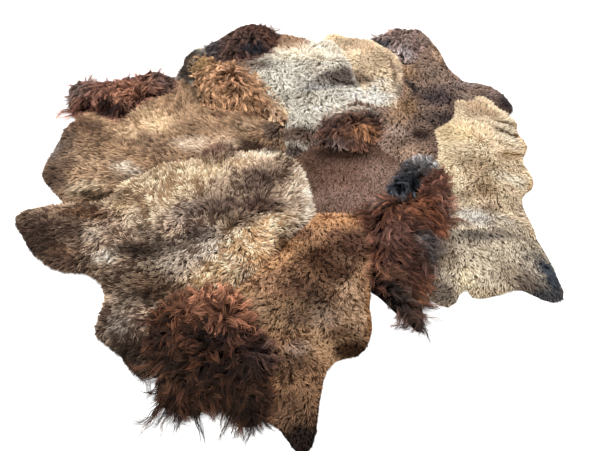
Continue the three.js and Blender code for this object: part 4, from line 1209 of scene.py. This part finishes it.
def mane(node, tones, flows, seed, long=90, spray=0.6, curl=1.0, wisps=0.15, streak=0.42):
    """Long wool as small clumps of fine wavy strands on a mound. A clump leaves its root along the way the
    wool lies, turned by up to a spray in radians, and curls to one side. Its strands meet near its tip.
    wisps is the share of the clumps at a free rim that grow long, and streak is how much one clump's
    brightness differs from the next."""
    random = np.random.default_rng(seed)
    mound = mound_piece(node, tones)
    roots, depth, out = rooted(node, CLUMP_STEP, random)
    count = len(roots)
    rim = np.exp(-((depth / CLUMP_RIM) ** 2))
    drift = grain(roots, DRIFT_SIZE, seed + 2) - 0.5
    angle = flow_at(roots, flows) + DRIFT * curl * drift + random.normal(0, spray, count)
    free = neighbour_ranks(node, roots + out * (depth + CLUMP_PAST_EDGE)[:, None]) == 0
    outwards = np.clip((ways(angle) * out).sum(axis=1), 0, 1)
    push = rim * np.where(free, 0.5 + 0.5 * outwards, 1)
    way = ways(angle) * (1 - 0.5 * rim)[:, None] + out * push[:, None]
    angle = np.arctan2(way[:, 1], way[:, 0])
    wisp = rim * (random.random(count) < wisps) * free
    share = 1 - np.where(free, RIM_SHORT, SEAM_SHORT) * rim + WISP_LONG * wisp
    length = long * random.uniform(*CLUMP_LENGTHS, count) * share
    left_share = 0.5 + 1.2 * (grain(roots, SIDE_SIZE, seed + 3) - 0.5)
    side = np.where(random.random(count) < left_share, 1, -1)
    turn = curl * side * random.uniform(*CLUMP_TURNS, count) * (1 - 0.5 * rim)
    wave = curl * random.uniform(*CLUMP_WAVES, count)
    phase = random.uniform(0, 2 * math.pi, count)
    lift = random.uniform(*CLUMP_LIFTS, count) * (1 - 0.6 * rim)

    t = np.linspace(0, 1, STRAND_STEPS + 1)
    halfway = 0.5 * (t[1:] + t[:-1])
    swing = wave[:, None] * np.sin(WAVES * halfway + phase[:, None])
    heading = angle[:, None] + turn[:, None] * halfway**1.5 + swing
    hops = (length / STRAND_STEPS)[:, None, None] * np.stack([np.cos(heading), np.sin(heading)], axis=-1)
    spine = np.concatenate([roots[:, None], roots[:, None] + np.cumsum(hops, axis=1)], axis=1)

    apart = random.normal(0, STRAND_SPREAD, (count, STRANDS, 2))
    own = random.normal(0, 1, (count, STRANDS, 2))[:, :, None] * (t**1.5)[None, None, :, None]
    close = 0.25 + 0.75 * (1 - t) ** 0.9
    reach = random.uniform(*STRAND_REACH, (count, STRANDS, 1, 1))
    xy = roots[:, None, None] + (spine[:, None] - roots[:, None, None]) * reach
    xy = xy + apart[:, :, None] * close[None, None, :, None] + own * STRAND_STRAY
    arch = np.sin(math.pi * t**0.75)
    height = ground(xy.reshape(-1, 2)).reshape(count, STRANDS, len(t))
    thick = random.uniform(0, STRAND_THICK, (count, STRANDS, 1))
    thick = thick + random.uniform(0, CLUMP_THICK, (count, 1, 1)) * (1 - 0.6 * rim)[:, None, None]
    z = height + STRAND_LOW + thick * (0.25 + 0.75 * arch) + lift[:, None, None] * arch
    z[:, :, 0] = np.maximum(height[:, :, 0] - STRAND_SUNK, STRAND_LOW)
    z = np.minimum(z, TALLEST)
    line = np.concatenate([xy, z[..., None]], axis=-1).reshape(count * STRANDS, len(t), 3)
    roll = random.normal(0, STRAND_ROLL, (len(line), 1))
    half = 0.5 * STRAND_WIDTH * random.uniform(*STRAND_WIDTHS, (len(line), 1)) * np.sqrt(1.02 - t)

    tip_tone, root_tone = tone_at(roots, tones)
    own_shade = np.exp(random.normal(-0.05, 0.35, (count, STRANDS, 1)))
    clump_shade = np.exp(random.normal(-0.64 * streak**2, streak, (count, 1, 1)))
    # Each strand is lighter and darker in turn along its waves: painted light and shade, as where its curls
    # turn to the light and away.
    painted_wave_light = 1 + 0.5 * np.sin(WAVES * t + phase[:, None])[:, None]
    mix = np.clip(1.25 * t, 0, 1)[None, None, :, None] ** 1.2
    tone_and_painted_light = np.clip(own_shade * clump_shade * painted_wave_light, LEAST_TONE_AND_LIGHT, MOST_TONE_AND_LIGHT)[..., None]
    # The roots are darkened: painted shade deep in the mane.
    shades = root_tone[:, None, None] * (1 - mix) * STRAND_ROOT_PAINTED_SHADE + tip_tone[:, None, None] * mix * tone_and_painted_light
    shades = shades.reshape(len(line), len(t), 3)
    piece = ribbon_piece(node + "_wool", line, roll, half, shades, glossy_wool)


FRONT_MANE_TONES = [
    ("#583828", "#070302"),
    (-240, -672, 130, 60, 0, 0.95, "#c88a6a", "#623c2c"),
    (-350, -745, 60, 42, 0, 0.7, "#7a4c34", "#150a06"),
    (-170, -770, 60, 60, 0, 0.7, "#84564a", "#1e110d"),
    (-70, -850, 56, 44, 0, 0.7, "#6f544d", "#120b0a"),
    (-250, -850, 80, 40, 0, 0.7, "#593623", "#0a0403"),
    (-345, -905, 50, 60, 0, 0.6, "#5c402e", "#070403"),
    (-240, -1015, 130, 50, 0, 0.9, "#4e3426", "#060302"),
    (-100, -1000, 70, 60, 0, 0.9, "#463024", "#060302"),
    (-115, -835, 32, 26, 0, 0.9, "#150c09", "#030101"),
    (-330, -862, 32, 22, 0, 0.9, "#150c08", "#030101"),
    (-210, -900, 70, 30, 0, 0.9, "#20120b", "#040201"),
    (-200, -790, 50, 26, 0, 0.7, "#28160e", "#050302"),
    (-158, -700, 62, 50, 0, 1.0, "#c08262", "#62402f"),
    (-233, -785, 44, 26, 0, 0.9, "#22130d", "#060302"),
    (-402, -800, 40, 60, 0, 0.8, "#4a3024", "#0a0504"),
]
FRONT_MANE_FLOWS = [
    (-200, -650, 80),
    (-350, -680, 150),
    (-90, -740, 10),
    (-240, -760, 215),
    (-150, -850, 300),
    (-100, -950, 290),
    (-230, -1000, 265),
    (-380, -900, 225),
]
mane(
    "front_mane", FRONT_MANE_TONES, FRONT_MANE_FLOWS, 31,
    long=100, spray=0.75, wisps=0.4, streak=0.72,
)


# The mane at the left: red-brown neck wool with mauve-grey tips, darkest towards the skin below it. It
# grows on its skin's neck and stands over the far edge of the back left skin.
LEFT_MANE_TONES = [
    ("#b5816c", "#4a2b21"),
    (-1055, 520, 80, 70, 0, 0.9, "#857068", "#3f302c"),
    (-880, 600, 150, 36, 10, 0.8, "#9a7167", "#4c312b"),
    (-870, 405, 90, 52, 0, 1.0, "#301710", "#0b0403"),
    (-980, 420, 70, 40, 0, 0.8, "#64392b", "#20100c"),
    (-650, 570, 60, 60, 0, 0.8, "#75605a", "#221b1b"),
    (-720, 460, 40, 40, 0, 0.7, "#5a3a32", "#1f1310"),
    (-773, 345, 40, 24, 0, 0.9, "#6a4a3a", "#26150e"),
    (-800, 398, 52, 34, 0, 0.95, "#3a2018", "#120805"),
    (-800, 500, 70, 50, 0, 0.7, "#d39370", "#5a3526"),
]
LEFT_MANE_FLOWS = [
    (-1080, 560, 165),
    (-1000, 400, 215),
    (-850, 400, 240),
    (-800, 560, 100),
    (-650, 600, 60),
]
mane("left_mane", LEFT_MANE_TONES, LEFT_MANE_FLOWS, 32, long=85, wisps=0.3)


# The golden mane: soft golden-brown neck wool in open curls. It grows along the seam between the sandy
# skin and the cream one, and falls over both.
GOLDEN_TONES = [
    ("#d8a880", "#6a4528"),
    (-460, 720, 60, 60, 0, 0.9, "#deb683", "#83603a"),
    (-300, 560, 66, 36, 0, 0.85, "#ba8a64", "#5e4029"),
    (-130, 500, 50, 90, 40, 0.8, "#dda57c", "#855839"),
    (-130, 385, 32, 30, 0, 0.8, "#7a543e", "#322016"),
    (-40, 355, 50, 46, 0, 0.95, "#f0c49f", "#8a6248"),
    (-445, 490, 28, 55, 0, 0.8, "#8c7660", "#42352a"),
    # Painted shade at the mane's lower rim, where it lies over the back left skin.
    (-165, 372, 60, 26, 0, 0.9, "#5e3f2b", "#22140d"),
    (-308, 362, 60, 24, 0, 0.9, "#7a5844", "#36231a"),
    (-512, 770, 28, 70, 0, 0.95, "#7c6c5e", "#3c342e"),
    (-500, 640, 20, 50, 0, 0.9, "#7a6450", "#3c2e22"),
    (-39, 392, 34, 34, 0, 0.9, "#f4cda8", "#9a7254"),
    (-276, 500, 50, 26, 0, 0.9, "#80593d", "#362013"),
    (-90, 482, 32, 90, 38, 0.85, "#efcba4", "#94704e"),
    (-45, 432, 34, 40, 0, 0.9, "#f6d4ae", "#a67e5c"),
    (-262, 632, 54, 42, 0, 0.9, "#f0bd98", "#96684a"),
    (-300, 600, 60, 36, 0, 0.7, "#c28e6a", "#684730"),
    (-129, 524, 40, 44, 40, 0.8, "#f2c8a0", "#94704e"),
    (-40, 432, 40, 44, 0, 0.9, "#ffe4c4", "#b08a68"),
    (-480, 808, 44, 30, 0, 0.9, "#7a6c60", "#3a322c"),
]
GOLDEN_FLOWS = [
    (-470, 760, 140),
    (-400, 600, 220),
    (-300, 450, 250),
    (-100, 450, 330),
    (-200, 700, 40),
]
mane("golden_mane", GOLDEN_TONES, GOLDEN_FLOWS, 33, long=75, streak=0.62)


# The mane at the far side: dark brown neck wool, red-brown where the light catches it. It grows on the
# neck of the cream skin and hangs over its far edge.
TOP_MANE_TONES = [
    ("#6f5146", "#2b201e"),
    (-190, 1060, 110, 60, 0, 0.9, "#7e5648", "#38241f"),
    (-420, 880, 80, 70, 0, 0.9, "#615a5a", "#262427"),
    (-190, 885, 62, 32, 0, 0.95, "#2c2e36", "#0d0f14"),
    (-105, 945, 45, 60, 0, 0.8, "#815848", "#3c261f"),
]
TOP_MANE_FLOWS = [
    (-420, 920, 200),
    (-300, 1050, 130),
    (-150, 1100, 80),
    (-80, 950, 340),
    (-250, 830, 250),
]
mane("top_mane", TOP_MANE_TONES, TOP_MANE_FLOWS, 34, long=75, wisps=0.25)


# The small mane in the middle: rust-brown neck wool that curls up where the short skin is sewn to the
# cream one, and hides the seam.
CENTRE_MANE_TONES = [
    ("#875f4d", "#38241c"),
    (370, 230, 46, 30, 0, 0.95, "#d0956a", "#6a4026"),
    (240, 165, 60, 38, 0, 0.9, "#705d57", "#211716"),
    (412, 305, 24, 60, 0, 0.9, "#382925", "#140d0c"),
    (300, 345, 85, 48, 0, 0.6, "#9a7463", "#4a3228"),
    (240, 265, 48, 36, 0, 0.85, "#5e4640", "#271b19"),
    (445, 350, 20, 60, 0, 0.7, "#aa8a7e", "#6a4e46"),
    (275, 366, 125, 32, 0, 1.0, "#efe0ce", "#b8a898"),
]
CENTRE_MANE_FLOWS = [
    (200, 200, 200),
    (300, 150, 260),
    (420, 200, 320),
    (400, 380, 50),
    (260, 360, 130),
]
mane("centre_mane", CENTRE_MANE_TONES, CENTRE_MANE_FLOWS, 35, long=70)


# The small dark mane: charcoal wool with silver strands at its far end, where the short skin, the dark
# one and the golden one meet.
DARK_MANE_TONES = [
    ("#3b3d44", "#111217"),
    (640, 32, 60, 34, 0, 1.0, "#cfc9c7", "#666464"),
    (520, -130, 50, 20, 0, 0.6, "#6e737a", "#24262c"),
    (500, -20, 40, 30, 0, 0.6, "#857670", "#463b37"),
    (600, -15, 38, 30, 0, 0.85, "#77706f", "#2f2b2b"),
]
DARK_MANE_FLOWS = [(480, -120, 210), (560, -60, 130), (650, 30, 60), (640, -20, 330)]
mane("dark_mane", DARK_MANE_TONES, DARK_MANE_FLOWS, 36, long=65)


# The shoulder mane: rust-brown wool in long waves over the seam right of the front skin. It ends in a
# black tail that lies on the floor.
SHOULDER_TONES = [
    ("#744632", "#1f110c"),
    (660, -120, 62, 120, 0, 0.8, "#a06e5c", "#4a2e25"),
    (530, -230, 100, 48, 0, 0.85, "#945c42", "#3a2115"),
    (440, -330, 60, 60, 0, 0.7, "#8f685c", "#412a25"),
    (554, -412, 50, 54, 0, 0.9, "#8c8888", "#3e3b3c"),
    (470, -460, 80, 65, 0, 0.8, "#604238", "#1c1210"),
    (575, -450, 38, 60, 0, 0.85, "#5d5152", "#262122"),
    (430, -560, 70, 48, 0, 0.8, "#624235", "#1c110d"),
    (520, -620, 40, 60, 0, 0.85, "#8a5a42", "#331f15"),
    (400, -640, 50, 60, 0, 0.95, "#4a3b34", "#191311"),
    (475, -715, 65, 58, 0, 0.95, "#685148", "#291e1a"),
    (455, -640, 16, 30, 0, 0.5, "#8f7f76", "#3c3430"),
    (708, -240, 28, 66, 0, 0.95, "#d3b9a2", "#8c7462"),
    (590, -480, 24, 60, 0, 0.85, "#9a8878", "#544840"),
    (530, -655, 28, 50, 0, 0.8, "#8f7a6c", "#463830"),
    (395, -200, 42, 28, 0, 0.9, "#94756a", "#54403a"),
    (420, -194, 40, 30, 0, 0.9, "#9c7c70", "#5a453e"),
    (476, -225, 44, 30, 0, 0.9, "#a86e54", "#4c2e20"),
    (494, -640, 30, 30, 0, 0.9, "#a0684a", "#2e1a10"),
    (372, -525, 40, 54, 0, 0.7, "#956850", "#301c13"),
    (656, -200, 36, 50, 0, 0.6, "#93685a", "#42291f"),
]
SHOULDER_FLOWS = [
    (400, -230, 160),
    (480, -300, 300),
    (650, -100, 60),
    (690, -250, 320),
    (380, -480, 280),
    (560, -480, 325),
    (400, -620, 308),
    (530, -620, 283),
    (480, -700, 292),
]
mane(
    "shoulder_mane", SHOULDER_TONES, SHOULDER_FLOWS, 37,
    long=105, spray=0.4, wisps=0.4, streak=0.6,
)


# The mane at the back right: shorter mauve-brown neck wool with silver and blue-black strands, on the
# far left corner of the dark skin.
BACK_MANE_TONES = [
    ("#c6aa9f", "#765f57"),
    (532, 960, 62, 38, -30, 0.95, "#4f5159", "#1e2026"),
    (650, 860, 70, 34, -50, 0.9, "#cfc0bd", "#6f605c"),
    (690, 775, 32, 20, 0, 0.95, "#2a2c34", "#0e1014"),
    (640, 1040, 80, 48, 0, 0.6, "#a98a7f", "#5c4640"),
    (720, 960, 38, 60, 0, 0.5, "#a6897d", "#64504a"),
]
BACK_MANE_FLOWS = [(520, 980, 190), (600, 1060, 100), (720, 1000, 20), (650, 830, 260)]
mane("back_mane", BACK_MANE_TONES, BACK_MANE_FLOWS, 38, long=55)


# The floor and the light: a plain pale floor, and soft daylight from behind the rug on its left.
floor_material, floor_surface, _ = new_material("pale_floor")
floor_surface.inputs["Base Color"].default_value = (0.92, 0.92, 0.92, 1)
floor_surface.inputs["Roughness"].default_value = 0.9
bpy.ops.mesh.primitive_plane_add(size=30)
floor = bpy.context.object
floor.name = "floor"
floor.data.materials.append(floor_material)

for name, place, size, power in (
    ("window", (-2.4, 2.6, 4.1), 2.0, 402.0),
    ("front_fill", (2.4, -2.6, 3.0), 3.0, 60.0),
):
    light_data = bpy.data.lights.new(name, "AREA")
    light_data.size = size
    light_data.energy = power
    light = bpy.data.objects.new(name, light_data)
    light.location = place
    light.rotation_mode = "QUATERNION"
    light.rotation_quaternion = (-Vector(place)).to_track_quat("-Z", "Y")
    bpy.context.scene.collection.objects.link(light)

world = bpy.data.worlds.new("daylight")
world.use_nodes = True
world.node_tree.nodes["Background"].inputs["Color"].default_value = (1.0, 1.0, 1.0, 1)
world.node_tree.nodes["Background"].inputs["Strength"].default_value = 1.08
bpy.context.scene.world = world
bpy.context.scene.view_settings.view_transform = "Standard"
